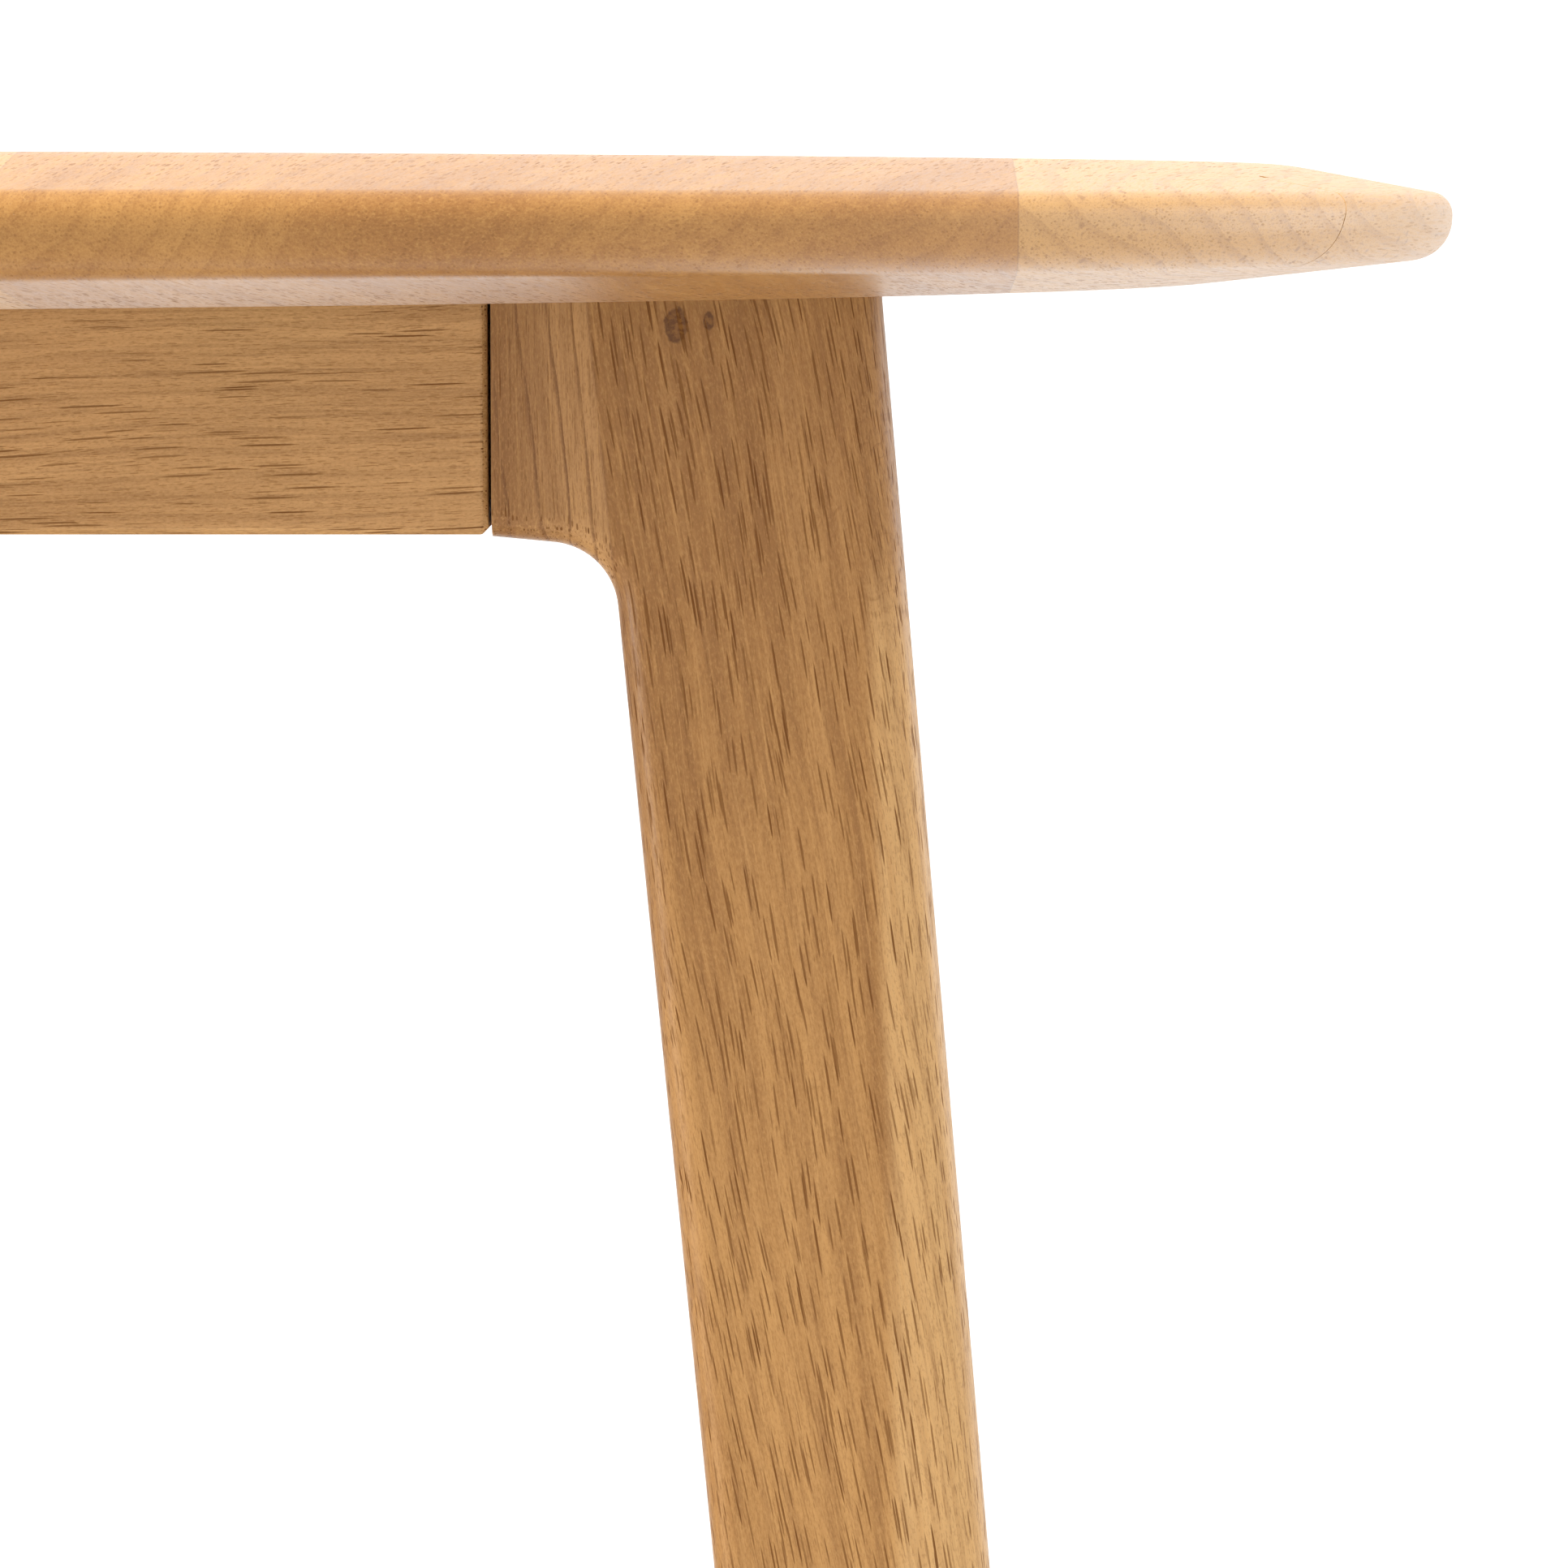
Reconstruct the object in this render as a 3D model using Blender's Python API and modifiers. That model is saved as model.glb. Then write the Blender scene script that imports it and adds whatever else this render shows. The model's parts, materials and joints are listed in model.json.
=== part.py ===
"""Round oak gateleg table: a centre panel with a drop leaf on a rule joint at each side, a splayed
four-legged frame, and under each leaf a gate that swings out of the frame to carry it.

Metres, +Z up. The origin is on the floor under the middle of the top. The front is -Y, and the back half
of the table is the front half turned half a turn about Z.
"""

import math

import bmesh
import bpy
from mathutils import Matrix, Vector

GAP = 0.0003  # between two pieces that touch

# The top
TABLE_HEIGHT = 0.740
TOP_RADIUS = 0.550
TOP_THICKNESS = 0.030
UNDERSIDE = TABLE_HEIGHT - TOP_THICKNESS
RIM_STEPS = 120
# The rim's section, from the top face to the underside: how far in from the rim, and how high above the
# underside. A shallow bevel above, a small nose, and a shallower bevel below.
RIM_SECTION = (
    (0.0430, 0.0300),
    (0.0051, 0.0230),
    (0.0018, 0.0212),
    (0.0000, 0.0185),
    (0.0000, 0.0139),
    (0.0025, 0.0096),
    (0.0060, 0.0072),
    (0.0130, 0.0055),
    (0.0620, 0.0000),
)

# The rule joints, whose arcs are centred on the hinge pins
JOINT_LINE = 0.200  # from the middle to the line where a leaf meets the centre panel
PIN_Z = UNDERSIDE + 0.004
RULE_RADIUS = 0.022
RULE_CLEARANCE = 0.0007
RULE_STEPS = 10

# The rule-joint hinges
HINGE_X = 0.255
FLAP_HALF_WIDTH = 0.019
FLAP_BOTTOM = -0.0037  # below the pin
FLAP_TOP = -0.0019
FIXED_FLAP_REACH = 0.035
LEAF_FLAP_REACH = 0.062
KNUCKLE_RADIUS = 0.0032
KNUCKLE_BORE = 0.00175
HINGE_PIN_RADIUS = 0.0016
MIDDLE_KNUCKLE = 0.0062  # half its length
FINGER_ROOM = 0.0045  # cut out of each flap beside the other's knuckles

# The frame: legs and aprons share one face
FACE_Y = 0.188
LEG_THICKNESS = 0.042
LEG_BACK_Y = FACE_Y - LEG_THICKNESS
LEG_TOP = UNDERSIDE - GAP
LEG_FOOT = 0.0063
OUTER_EDGE_X = 0.4623  # of a leg at the floor
OUTER_SPLAY = 0.0867  # how far the edge comes in for each metre up
INNER_EDGE_X = 0.4010
INNER_SPLAY = 0.0971
OUTER_ROUND = 0.010
INNER_ROUND = 0.005
SHOULDER_X = 0.310
SHOULDER_Z = 0.6527
SHOULDER_SLOPE = -0.094
SHOULDER_FILLET = 0.0165
BUTT_GAP = 0.0007

APRON_BOTTOM = 0.6534
APRON_THICKNESS = 0.028
END_APRON_X = (0.368, 0.392)
STRETCHER_Z = (0.105, 0.145)
STRETCHER_Y = (0.156, 0.184)
END_STRETCHER_X = (0.408, 0.432)
EASE = 0.0015  # of the edges of rails

TENON_HALF_THICKNESS = 0.005
TENON_SHOULDER = 0.008  # of a rail above and below its tenon

# The gates, measured from the pivot: along the gate, and outwards from the frame
PIVOT_X = 0.125
PIVOT_Y = 0.170
POST_HALF_WIDTH = 0.018
POST_HALF_DEPTH = 0.017
POST_CLEARANCE = 0.001
GATE_LEG_OUTER = 0.346  # at the floor
GATE_LEG_INNER = 0.285
GATE_LEG_TOP = UNDERSIDE - 0.0005
GATE_RAIL_HALF_DEPTH = 0.012
GATE_TOP_RAIL_Z = (0.590, 0.640)
GATE_LOW_RAIL_Z = (0.155, 0.195)
PIVOT_PIN_RADIUS = 0.005
PIVOT_PIN_IN_POST = 0.040
PIVOT_PIN_IN_RAIL = 0.025
TONGUE_BACK_Y = 0.1735  # the back of the gate leg's tongue, in the apron's notch
APRON_NOTCH_Y = 0.1725
TONGUE_FOOT_Z = 0.650
LOW_LAP_BACK_Y = 0.171
STRETCHER_NOTCH_Y = 0.170
NOTCH_SIDE_ROOM = 0.002
NOTCH_HEIGHT_ROOM = 0.003

# The small pieces
FOOT_RADIUS = 0.014
FOOT_BASE = 0.006
FOOT_STUD_RADIUS = 0.004
FOOT_STUD_TOP = 0.034
FOOT_BORE_RADIUS = 0.0046
FOOT_BORE_TOP = 0.040
BRACKET_X = 0.190
BRACKET_ARM = 0.030
BRACKET_WIDTH = 0.020
BRACKET_THICKNESS = 0.002
BLOCK_LEG = 0.050
BLOCK_Z = (0.662, 0.700)
STOP_LOW = (-0.180, 0.400)  # under the front leaf: X, and how far from the middle
STOP_HIGH = (-0.1436, 0.450)
STOP_THICKNESS = 0.008

OAK = "oak"
BRASS = "antique_brass"
STEEL = "zinc_steel"
NYLON = "brown_nylon"
FINISHES = {
    OAK: ((0.46, 0.27, 0.13), 0.42, 0.0),
    BRASS: ((0.42, 0.29, 0.13), 0.38, 1.0),
    STEEL: ((0.55, 0.55, 0.53), 0.35, 1.0),
    NYLON: ((0.07, 0.045, 0.03), 0.55, 0.0),
}


def clear_scene():
    for obj in list(bpy.data.objects):
        bpy.data.objects.remove(obj)


def new_collection(name):
    collection = bpy.data.collections.new(name)
    bpy.context.scene.collection.children.link(collection)
    return collection


def make_material(name, colour, roughness, metallic):
    material = bpy.data.materials.new(name)
    material.use_nodes = True
    shader = material.node_tree.nodes["Principled BSDF"]
    shader.inputs["Base Color"].default_value = (*colour, 1.0)
    shader.inputs["Roughness"].default_value = roughness
    shader.inputs["Metallic"].default_value = metallic
    return material


def add_object(name, mesh, parent, location, finish):
    """A part with its finish or, with no finish, a cutter."""
    obj = bpy.data.objects.new(name, mesh)
    obj.parent = parent
    obj.location = location
    if finish is None:
        obj.hide_render = True
        obj.display_type = "WIRE"
        bpy.data.collections["cutters"].objects.link(obj)
    else:
        mesh.materials.append(bpy.data.materials[finish])
        bpy.data.collections["gateleg_table"].objects.link(obj)
    return obj


def add_empty(name, parent=None, location=(0.0, 0.0, 0.0), turn=0.0):
    empty = bpy.data.objects.new(name, None)
    empty.parent = parent
    empty.location = location
    empty.rotation_euler.z = turn
    bpy.data.collections["gateleg_table"].objects.link(empty)
    return empty


def mesh_of(name, bm):
    mesh = bpy.data.meshes.new(name)
    bm.to_mesh(mesh)
    bm.free()
    return mesh


def box(name, low, high, parent, finish=None):
    """A box between two corners in its parent's space."""
    size = Vector(high) - Vector(low)
    bm = bmesh.new()
    bmesh.ops.create_cube(bm, size=1.0, matrix=Matrix.Diagonal((*size, 1.0)))
    return add_object(name, mesh_of(name, bm), parent, (Vector(low) + Vector(high)) / 2, finish)


def rod(name, radius, start, end, parent, finish=None, sides=12):
    """A cylinder between two points in its parent's space."""
    along = Vector(end) - Vector(start)
    bm = bmesh.new()
    bmesh.ops.create_cone(
        bm, cap_ends=True, segments=sides, radius1=radius, radius2=radius, depth=along.length
    )
    mesh = mesh_of(name, bm)
    mesh.shade_smooth()
    mesh.set_sharp_from_angle(angle=math.radians(40))
    obj = add_object(name, mesh, parent, (Vector(start) + Vector(end)) / 2, finish)
    obj.rotation_euler = along.to_track_quat("Z", "Y").to_euler()
    return obj


def prism_mesh(name, outline, thickness):
    """A flat outline in the mesh's X and Y, as thick as given about its middle plane."""
    curve = bpy.data.curves.new(name, "CURVE")
    curve.dimensions = "2D"
    curve.fill_mode = "BOTH"
    curve.extrude = thickness / 2
    spline = curve.splines.new("POLY")
    spline.points.add(len(outline) - 1)
    for point, (x, y) in zip(spline.points, outline):
        point.co = (x, y, 0.0, 1.0)
    spline.use_cyclic_u = True
    guide = bpy.data.objects.new(name, curve)
    bpy.context.scene.collection.objects.link(guide)
    evaluated = guide.evaluated_get(bpy.context.evaluated_depsgraph_get())
    bm = bmesh.new()
    filled = bpy.data.meshes.new_from_object(evaluated)
    bm.from_mesh(filled)
    bpy.data.meshes.remove(filled)
    bpy.data.objects.remove(guide)
    bpy.data.curves.remove(curve)
    bmesh.ops.remove_doubles(bm, verts=bm.verts, dist=1e-5)
    bmesh.ops.dissolve_limit(bm, angle_limit=math.radians(1), verts=bm.verts, edges=bm.edges)
    bmesh.ops.recalc_face_normals(bm, faces=bm.faces)
    return mesh_of(name, bm)


def upright_prism(name, outline, y_low, y_high, parent, finish=None):
    """An outline in X and Z, extruded along Y."""
    mesh = prism_mesh(name, outline, y_high - y_low)
    obj = add_object(name, mesh, parent, (0.0, (y_low + y_high) / 2, 0.0), finish)
    obj.rotation_euler.x = math.pi / 2
    return obj


def cross_prism(name, outline, x_low, x_high, parent, finish=None):
    """An outline in Y and Z, extruded along X."""
    mesh = prism_mesh(name, outline, x_high - x_low)
    obj = add_object(name, mesh, parent, ((x_low + x_high) / 2, 0.0, 0.0), finish)
    obj.rotation_euler = (math.pi / 2, 0.0, math.pi / 2)
    return obj


def combine(obj, other, operation):
    modifier = obj.modifiers.new(operation.lower(), "BOOLEAN")
    modifier.operation = operation
    modifier.solver = "EXACT"
    modifier.object = other


def cut(obj, cutter):
    combine(obj, cutter, "DIFFERENCE")


def ease_edges(obj, width=EASE):
    modifier = obj.modifiers.new("eased", "BEVEL")
    modifier.width = width
    modifier.segments = 1
    modifier.limit_method = "ANGLE"
    modifier.angle_limit = math.radians(50)


def round_edges(obj, radius, wanted):
    """Rounds the edges along the outline, on both faces, whose two ends are wanted points of it."""
    bm = bmesh.new()
    bm.from_mesh(obj.data)
    edges = [
        edge
        for edge in bm.edges
        if abs(edge.verts[0].co.z - edge.verts[1].co.z) < 1e-6
        and all(wanted(vert.co.x, vert.co.y) for vert in edge.verts)
    ]
    bmesh.ops.bevel(
        bm, geom=edges, offset=radius, offset_type="OFFSET", segments=3, profile=0.5, affect="EDGES"
    )
    bm.to_mesh(obj.data)
    bm.free()


def arc(centre, radius, start, end, steps):
    """Points along an arc between two angles in degrees."""
    angles = [math.radians(start + (end - start) * i / steps) for i in range(steps + 1)]
    return [(centre[0] + radius * math.cos(a), centre[1] + radius * math.sin(a)) for a in angles]


def fillet(before, corner, after, radius, steps):
    """The arc of this radius that rounds a corner of an outline."""
    to_before = (Vector(before) - Vector(corner)).normalized()
    to_after = (Vector(after) - Vector(corner)).normalized()
    half = to_before.angle(to_after) / 2
    centre = Vector(corner) + (to_before + to_after).normalized() * radius / math.sin(half)
    start = Vector(corner) + to_before * radius / math.tan(half) - centre
    sweep = start.angle_signed(Vector(corner) + to_after * radius / math.tan(half) - centre)
    return [tuple(centre + Matrix.Rotation(-sweep * i / steps, 2) @ start) for i in range(steps + 1)]


def leg_outer(z):
    return OUTER_EDGE_X - OUTER_SPLAY * z


def leg_inner(z):
    return INNER_EDGE_X - INNER_SPLAY * z


def gate_outer(z):
    return GATE_LEG_OUTER - OUTER_SPLAY * z


def gate_inner(z):
    return GATE_LEG_INNER - INNER_SPLAY * z


# The top


def top_disc():
    """The whole top as one turned disc, a guide that the panel and the leaves are cut from."""
    profile = [(0.0, TABLE_HEIGHT)]
    profile += [(TOP_RADIUS - inset, UNDERSIDE + height) for inset, height in RIM_SECTION]
    profile += [(0.0, UNDERSIDE)]
    bm = bmesh.new()
    points = [bm.verts.new((x, 0.0, z)) for x, z in profile]
    for first, second in zip(points, points[1:]):
        bm.edges.new((first, second))
    guide = add_object("top_disc", mesh_of("top_disc", bm), None, (0.0, 0.0, 0.0), None)
    screw = guide.modifiers.new("turned", "SCREW")
    screw.steps = RIM_STEPS
    screw.render_steps = RIM_STEPS
    screw.use_merge_vertices = True
    screw.merge_threshold = 0.0001
    evaluated = guide.evaluated_get(bpy.context.evaluated_depsgraph_get())
    disc = bpy.data.meshes.new_from_object(evaluated)
    bpy.data.objects.remove(guide)
    disc.shade_smooth()
    disc.set_sharp_from_angle(angle=math.radians(20))
    return disc


def rule_arc(radius):
    """The rule joint's arc at the front, from above the pin down to its height."""
    return arc((-JOINT_LINE, PIN_Z), radius, 90, 180, RULE_STEPS)


def panel_section():
    """The centre panel in Y and Z: an ovolo along each side, with a small step above it."""
    above, below = TABLE_HEIGHT + 0.01, UNDERSIDE - 0.01
    front = [(-JOINT_LINE, above)] + rule_arc(RULE_RADIUS) + [(-JOINT_LINE - RULE_RADIUS, below)]
    return front + [(-y, z) for y, z in reversed(front)]


def leaf_section():
    """The front leaf in Y and Z: a cove that rides over the panel's ovolo."""
    above, below, beyond = TABLE_HEIGHT + 0.01, UNDERSIDE - 0.01, -TOP_RADIUS - 0.01
    cove = rule_arc(RULE_RADIUS + RULE_CLEARANCE)
    inner = [(-JOINT_LINE - GAP, above), (-JOINT_LINE - GAP, cove[0][1])] + cove[1:]
    foot = -JOINT_LINE - RULE_RADIUS - RULE_CLEARANCE - GAP
    return inner + [(foot, below), (beyond, below), (beyond, above)]


def centre_panel(disc, halves):
    panel = add_object("centre_panel", disc.copy(), None, (0.0, 0.0, 0.0), OAK)
    section = cross_prism("panel_section", panel_section(), -TOP_RADIUS - 0.01, TOP_RADIUS + 0.01, None)
    combine(panel, section, "INTERSECT")
    for half in halves:
        for side in (-1, 1):
            for recess in hinge_recesses(half, side * HINGE_X, -FIXED_FLAP_REACH, 0.030):
                cut(panel, recess)
            cut(panel, knuckle_recess(half, side * HINGE_X))


def drop_leaf(name, disc, half, swing):
    """One leaf, which turns about the pins with its two hinge flaps and its stop block."""
    leaf = add_object(name, disc.copy(), swing, (0.0, JOINT_LINE, -PIN_Z), OAK)
    section = cross_prism(
        name + "_section", leaf_section(), -TOP_RADIUS - 0.01, TOP_RADIUS + 0.01, half
    )
    combine(leaf, section, "INTERSECT")
    for side in (-1, 1):
        for recess in hinge_recesses(half, side * HINGE_X, RULE_RADIUS - 0.004, LEAF_FLAP_REACH):
            cut(leaf, recess)


# The hinges


def hinge_recesses(half, x, start, end):
    """The shallow recess that lets a flap lie flush, between two distances out from the pin."""
    reach = FLAP_HALF_WIDTH + GAP
    low = (x - reach, -JOINT_LINE - end - GAP, UNDERSIDE - 0.002)
    high = (x + reach, -JOINT_LINE - start + GAP, PIN_Z + FLAP_TOP + GAP)
    return [box("flap_recess", low, high, half)]


def knuckle_recess(half, x):
    reach = FLAP_HALF_WIDTH + 2 * GAP
    depth = KNUCKLE_RADIUS + 2 * GAP
    room = 2 * KNUCKLE_RADIUS
    low = (x - reach, -JOINT_LINE - room, UNDERSIDE - 0.002)
    high = (x + reach, -JOINT_LINE + room, PIN_Z + depth)
    return box("knuckle_recess", low, high, half)


def flap(name, reach, parent, pin):
    """A flap from just beside the pin's line to its reach; a negative reach goes inboard."""
    inner, outer = sorted((-FINGER_ROOM * math.copysign(1, reach), -reach))
    low = (pin[0] - FLAP_HALF_WIDTH, pin[1] + inner, pin[2] + FLAP_BOTTOM)
    high = (pin[0] + FLAP_HALF_WIDTH, pin[1] + outer, pin[2] + FLAP_TOP)
    return box(name, low, high, parent, BRASS)


def add_knuckle(owner, start, end, reach, parent, pin):
    """A knuckle on the pin's line, with the neck that joins it to its flap."""
    low, high = sorted((0.0, -(FINGER_ROOM + 0.002) * math.copysign(1, reach)))
    neck = box(
        owner.name + "_neck",
        (pin[0] + start + 0.0002, pin[1] + low, pin[2] + FLAP_BOTTOM),
        (pin[0] + end - 0.0002, pin[1] + high, pin[2] + FLAP_TOP),
        parent,
    )
    barrel = rod(
        owner.name + "_barrel",
        KNUCKLE_RADIUS,
        (pin[0] + start, pin[1], pin[2]),
        (pin[0] + end, pin[1], pin[2]),
        parent,
    )
    combine(owner, neck, "UNION")
    combine(owner, barrel, "UNION")


def bore_flap(owner, parent, pin):
    reach = FLAP_HALF_WIDTH + 0.002
    start = (pin[0] - reach, pin[1], pin[2])
    end = (pin[0] + reach, pin[1], pin[2])
    cut(owner, rod(owner.name + "_bore", KNUCKLE_BORE, start, end, parent))


def rule_hinge(name, half, swing, x):
    """A rule-joint hinge: outer knuckles on the fixed flap, the middle one on the leaf's long flap."""
    fixed_pin = (x, -JOINT_LINE, PIN_Z)
    side_knuckle = MIDDLE_KNUCKLE + GAP
    fixed = flap(name + "_fixed_flap", -FIXED_FLAP_REACH, half, fixed_pin)
    end = FLAP_HALF_WIDTH - 0.0004
    add_knuckle(fixed, side_knuckle, end, -FIXED_FLAP_REACH, half, fixed_pin)
    add_knuckle(fixed, -end, -side_knuckle, -FIXED_FLAP_REACH, half, fixed_pin)
    bore_flap(fixed, half, fixed_pin)

    leaf_pin = (x, 0.0, 0.0)
    moving = flap(name + "_leaf_flap", LEAF_FLAP_REACH, swing, leaf_pin)
    add_knuckle(moving, -MIDDLE_KNUCKLE, MIDDLE_KNUCKLE, LEAF_FLAP_REACH, swing, leaf_pin)
    bore_flap(moving, swing, leaf_pin)

    start = (x - end, -JOINT_LINE, PIN_Z)
    rod(name + "_pin", HINGE_PIN_RADIUS, start, (x + end, -JOINT_LINE, PIN_Z), half, STEEL)


# The frame


def leg_outline(side):
    """A splayed leg with a shoulder that meets the apron, seen from the front."""
    corner_x = (INNER_EDGE_X - INNER_SPLAY * (SHOULDER_Z - SHOULDER_SLOPE * SHOULDER_X)) / (
        1 + INNER_SPLAY * SHOULDER_SLOPE
    )
    corner = (corner_x, SHOULDER_Z + SHOULDER_SLOPE * (corner_x - SHOULDER_X))
    foot = (leg_inner(LEG_FOOT), LEG_FOOT)
    shoulder = (SHOULDER_X, SHOULDER_Z)
    outline = [foot, (leg_outer(LEG_FOOT), LEG_FOOT), (leg_outer(LEG_TOP), LEG_TOP)]
    outline += [(SHOULDER_X, LEG_TOP), shoulder]
    outline += fillet(shoulder, corner, foot, SHOULDER_FILLET, 6)
    return [(side * x, z) for x, z in outline]


def frame_leg(name, half, side):
    leg = upright_prism(name, leg_outline(side), -FACE_Y, -LEG_BACK_Y, half, OAK)
    round_edges(leg, OUTER_ROUND, lambda x, z: abs(abs(x) - leg_outer(z)) < 1e-4)
    round_edges(
        leg,
        INNER_ROUND,
        lambda x, z: z < SHOULDER_Z + 1e-4 and abs(x) < leg_inner(z) + SHOULDER_FILLET / 2,
    )
    foot_x = side * foot_centre(leg_inner, leg_outer)
    foot_y = -(FACE_Y + LEG_BACK_Y) / 2
    cut(leg, foot_bore(half, foot_x, foot_y))
    return leg


def foot_centre(inner, outer):
    return (inner(LEG_FOOT) + outer(LEG_FOOT)) / 2


def foot_bore(parent, x, y):
    return rod("foot_bore", FOOT_BORE_RADIUS, (x, y, -0.01), (x, y, FOOT_BORE_TOP), parent)


def levelling_foot(name, parent, x, y):
    """A round foot on a stud that screws into the end of its leg."""
    slide = add_empty(name + "_travel", parent, (x, y, 0.0))
    profile = [
        (0.0, FOOT_STUD_TOP),
        (FOOT_STUD_RADIUS, FOOT_STUD_TOP),
        (FOOT_STUD_RADIUS, FOOT_BASE),
        (FOOT_RADIUS, FOOT_BASE),
        (FOOT_RADIUS, 0.0015),
        (FOOT_RADIUS - 0.0015, 0.0),
        (0.0, 0.0),
    ]
    bm = bmesh.new()
    points = [bm.verts.new((x, 0.0, z)) for x, z in profile]
    for first, second in zip(points, points[1:]):
        bm.edges.new((first, second))
    foot = add_object(name, mesh_of(name, bm), slide, (0.0, 0.0, 0.0), NYLON)
    screw = foot.modifiers.new("turned", "SCREW")
    screw.steps = 16
    screw.render_steps = 16
    screw.use_merge_vertices = True
    screw.merge_threshold = 0.0001
    screw.use_smooth_shade = True


def tenon_box(rail, low, high, parent, into):
    """Adds a tenon to a rail, and cuts its mortise, a little wider all round, in the piece it enters."""
    tenon = box(rail.name + "_tenon", low, high, parent)
    combine(rail, tenon, "UNION")
    room = Vector((GAP, GAP, GAP))
    cut(into, box(rail.name + "_mortise", Vector(low) - room, Vector(high) + room, parent))


def long_apron(name, half, legs):
    end = SHOULDER_X - BUTT_GAP
    back = -FACE_Y + APRON_THICKNESS
    apron = box(name, (-end, -FACE_Y, APRON_BOTTOM), (end, back, LEG_TOP), half, OAK)
    ease_edges(apron)
    cut(apron, gate_leg_room(half, APRON_BOTTOM - 0.01, LEG_TOP + 0.01, APRON_NOTCH_Y))
    pivot_top = APRON_BOTTOM + PIVOT_PIN_IN_RAIL + 0.003
    cut(apron, pivot_bore(half, APRON_BOTTOM - 0.01, pivot_top))
    middle = (-FACE_Y + back) / 2
    z_low, z_high = APRON_BOTTOM + TENON_SHOULDER, LEG_TOP - TENON_SHOULDER
    for side, leg in zip((-1, 1), legs):
        near, far = sorted((side * (end - 0.010), side * (end + 0.040)))
        low = (near, middle - TENON_HALF_THICKNESS, z_low)
        high = (far, middle + TENON_HALF_THICKNESS, z_high)
        tenon_box(apron, low, high, half, leg)


def long_stretcher(name, half, legs):
    """The low rail between two legs of one side, with ends cut to the legs' splay."""
    low_z, high_z = STRETCHER_Z
    ends = [(leg_inner(z) - GAP, z) for z in STRETCHER_Z]
    outline = [(-ends[0][0], low_z), ends[0], ends[1], (-ends[1][0], high_z)]
    front, back = -STRETCHER_Y[1], -STRETCHER_Y[0]
    stretcher = upright_prism(name, outline, front, back, half, OAK)
    ease_edges(stretcher)
    cut(stretcher, gate_leg_room(half, low_z - 0.01, high_z + 0.01, STRETCHER_NOTCH_Y))
    cut(stretcher, pivot_bore(half, high_z - PIVOT_PIN_IN_RAIL - 0.003, high_z + 0.01))
    middle = (front + back) / 2
    for side, leg in zip((-1, 1), legs):
        near, far = sorted((side * (ends[1][0] - 0.010), side * (ends[0][0] + 0.022)))
        low = (near, middle - TENON_HALF_THICKNESS, low_z + TENON_SHOULDER)
        high = (far, middle + TENON_HALF_THICKNESS, high_z - TENON_SHOULDER)
        tenon_box(stretcher, low, high, half, leg)


def gate_leg_room(half, z_low, z_high, back_y):
    """The notch that a folded gate leg lies in, a little wider than the leg, from the front."""
    outline = []
    for z in (z_low, z_high):
        outline.append((-PIVOT_X + gate_inner(z) - NOTCH_SIDE_ROOM, z))
        outline.append((-PIVOT_X + gate_outer(z) + NOTCH_SIDE_ROOM, z))
    outline = [outline[0], outline[1], outline[3], outline[2]]
    return upright_prism("gate_leg_room", outline, -FACE_Y - 0.01, -back_y, half)


def pivot_bore(half, z_low, z_high):
    start, end = (-PIVOT_X, -PIVOT_Y, z_low), (-PIVOT_X, -PIVOT_Y, z_high)
    return rod("pivot_bore", PIVOT_PIN_RADIUS + 2 * GAP, start, end, half, sides=16)


def end_rail(name, x_range, z_range, half, legs):
    """A rail across one end, tenoned into the backs of the two legs there."""
    reach = LEG_BACK_Y - GAP
    rail = box(name, (x_range[0], -reach, z_range[0]), (x_range[1], reach, z_range[1]), half, OAK)
    ease_edges(rail)
    middle = sum(x_range) / 2
    for side, leg in zip((-1, 1), legs):
        near, far = sorted((side * (reach - 0.010), side * (reach + 0.017)))
        low = (middle - TENON_HALF_THICKNESS + 0.001, near, z_range[0] + TENON_SHOULDER)
        high = (middle + TENON_HALF_THICKNESS - 0.001, far, z_range[1] - TENON_SHOULDER)
        tenon_box(rail, low, high, half, leg)


def corner_block(name, half, end_side):
    """A glued triangular block behind a front leg, against the end apron."""
    x, y = END_APRON_X[0] - GAP, -LEG_BACK_Y + GAP
    outline = [(x, y), (x, y + BLOCK_LEG), (x - BLOCK_LEG, y)]
    mesh = prism_mesh(name, [(end_side * px, py) for px, py in outline], BLOCK_Z[1] - BLOCK_Z[0])
    add_object(name, mesh, half, (0.0, 0.0, sum(BLOCK_Z) / 2), OAK)


def top_bracket(name, half, x):
    """A steel angle between the apron's back and the centre panel."""
    back = -FACE_Y + APRON_THICKNESS + GAP
    top = LEG_TOP
    outline = [
        (back, top),
        (back, top - BRACKET_ARM),
        (back + BRACKET_THICKNESS, top - BRACKET_ARM),
        (back + BRACKET_THICKNESS, top - BRACKET_THICKNESS),
        (back + BRACKET_ARM, top - BRACKET_THICKNESS),
        (back + BRACKET_ARM, top),
    ]
    cross_prism(name, outline, x - BRACKET_WIDTH / 2, x + BRACKET_WIDTH / 2, half, STEEL)


# The gates: in a gate's own space +X runs along it and -Y is outwards


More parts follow.
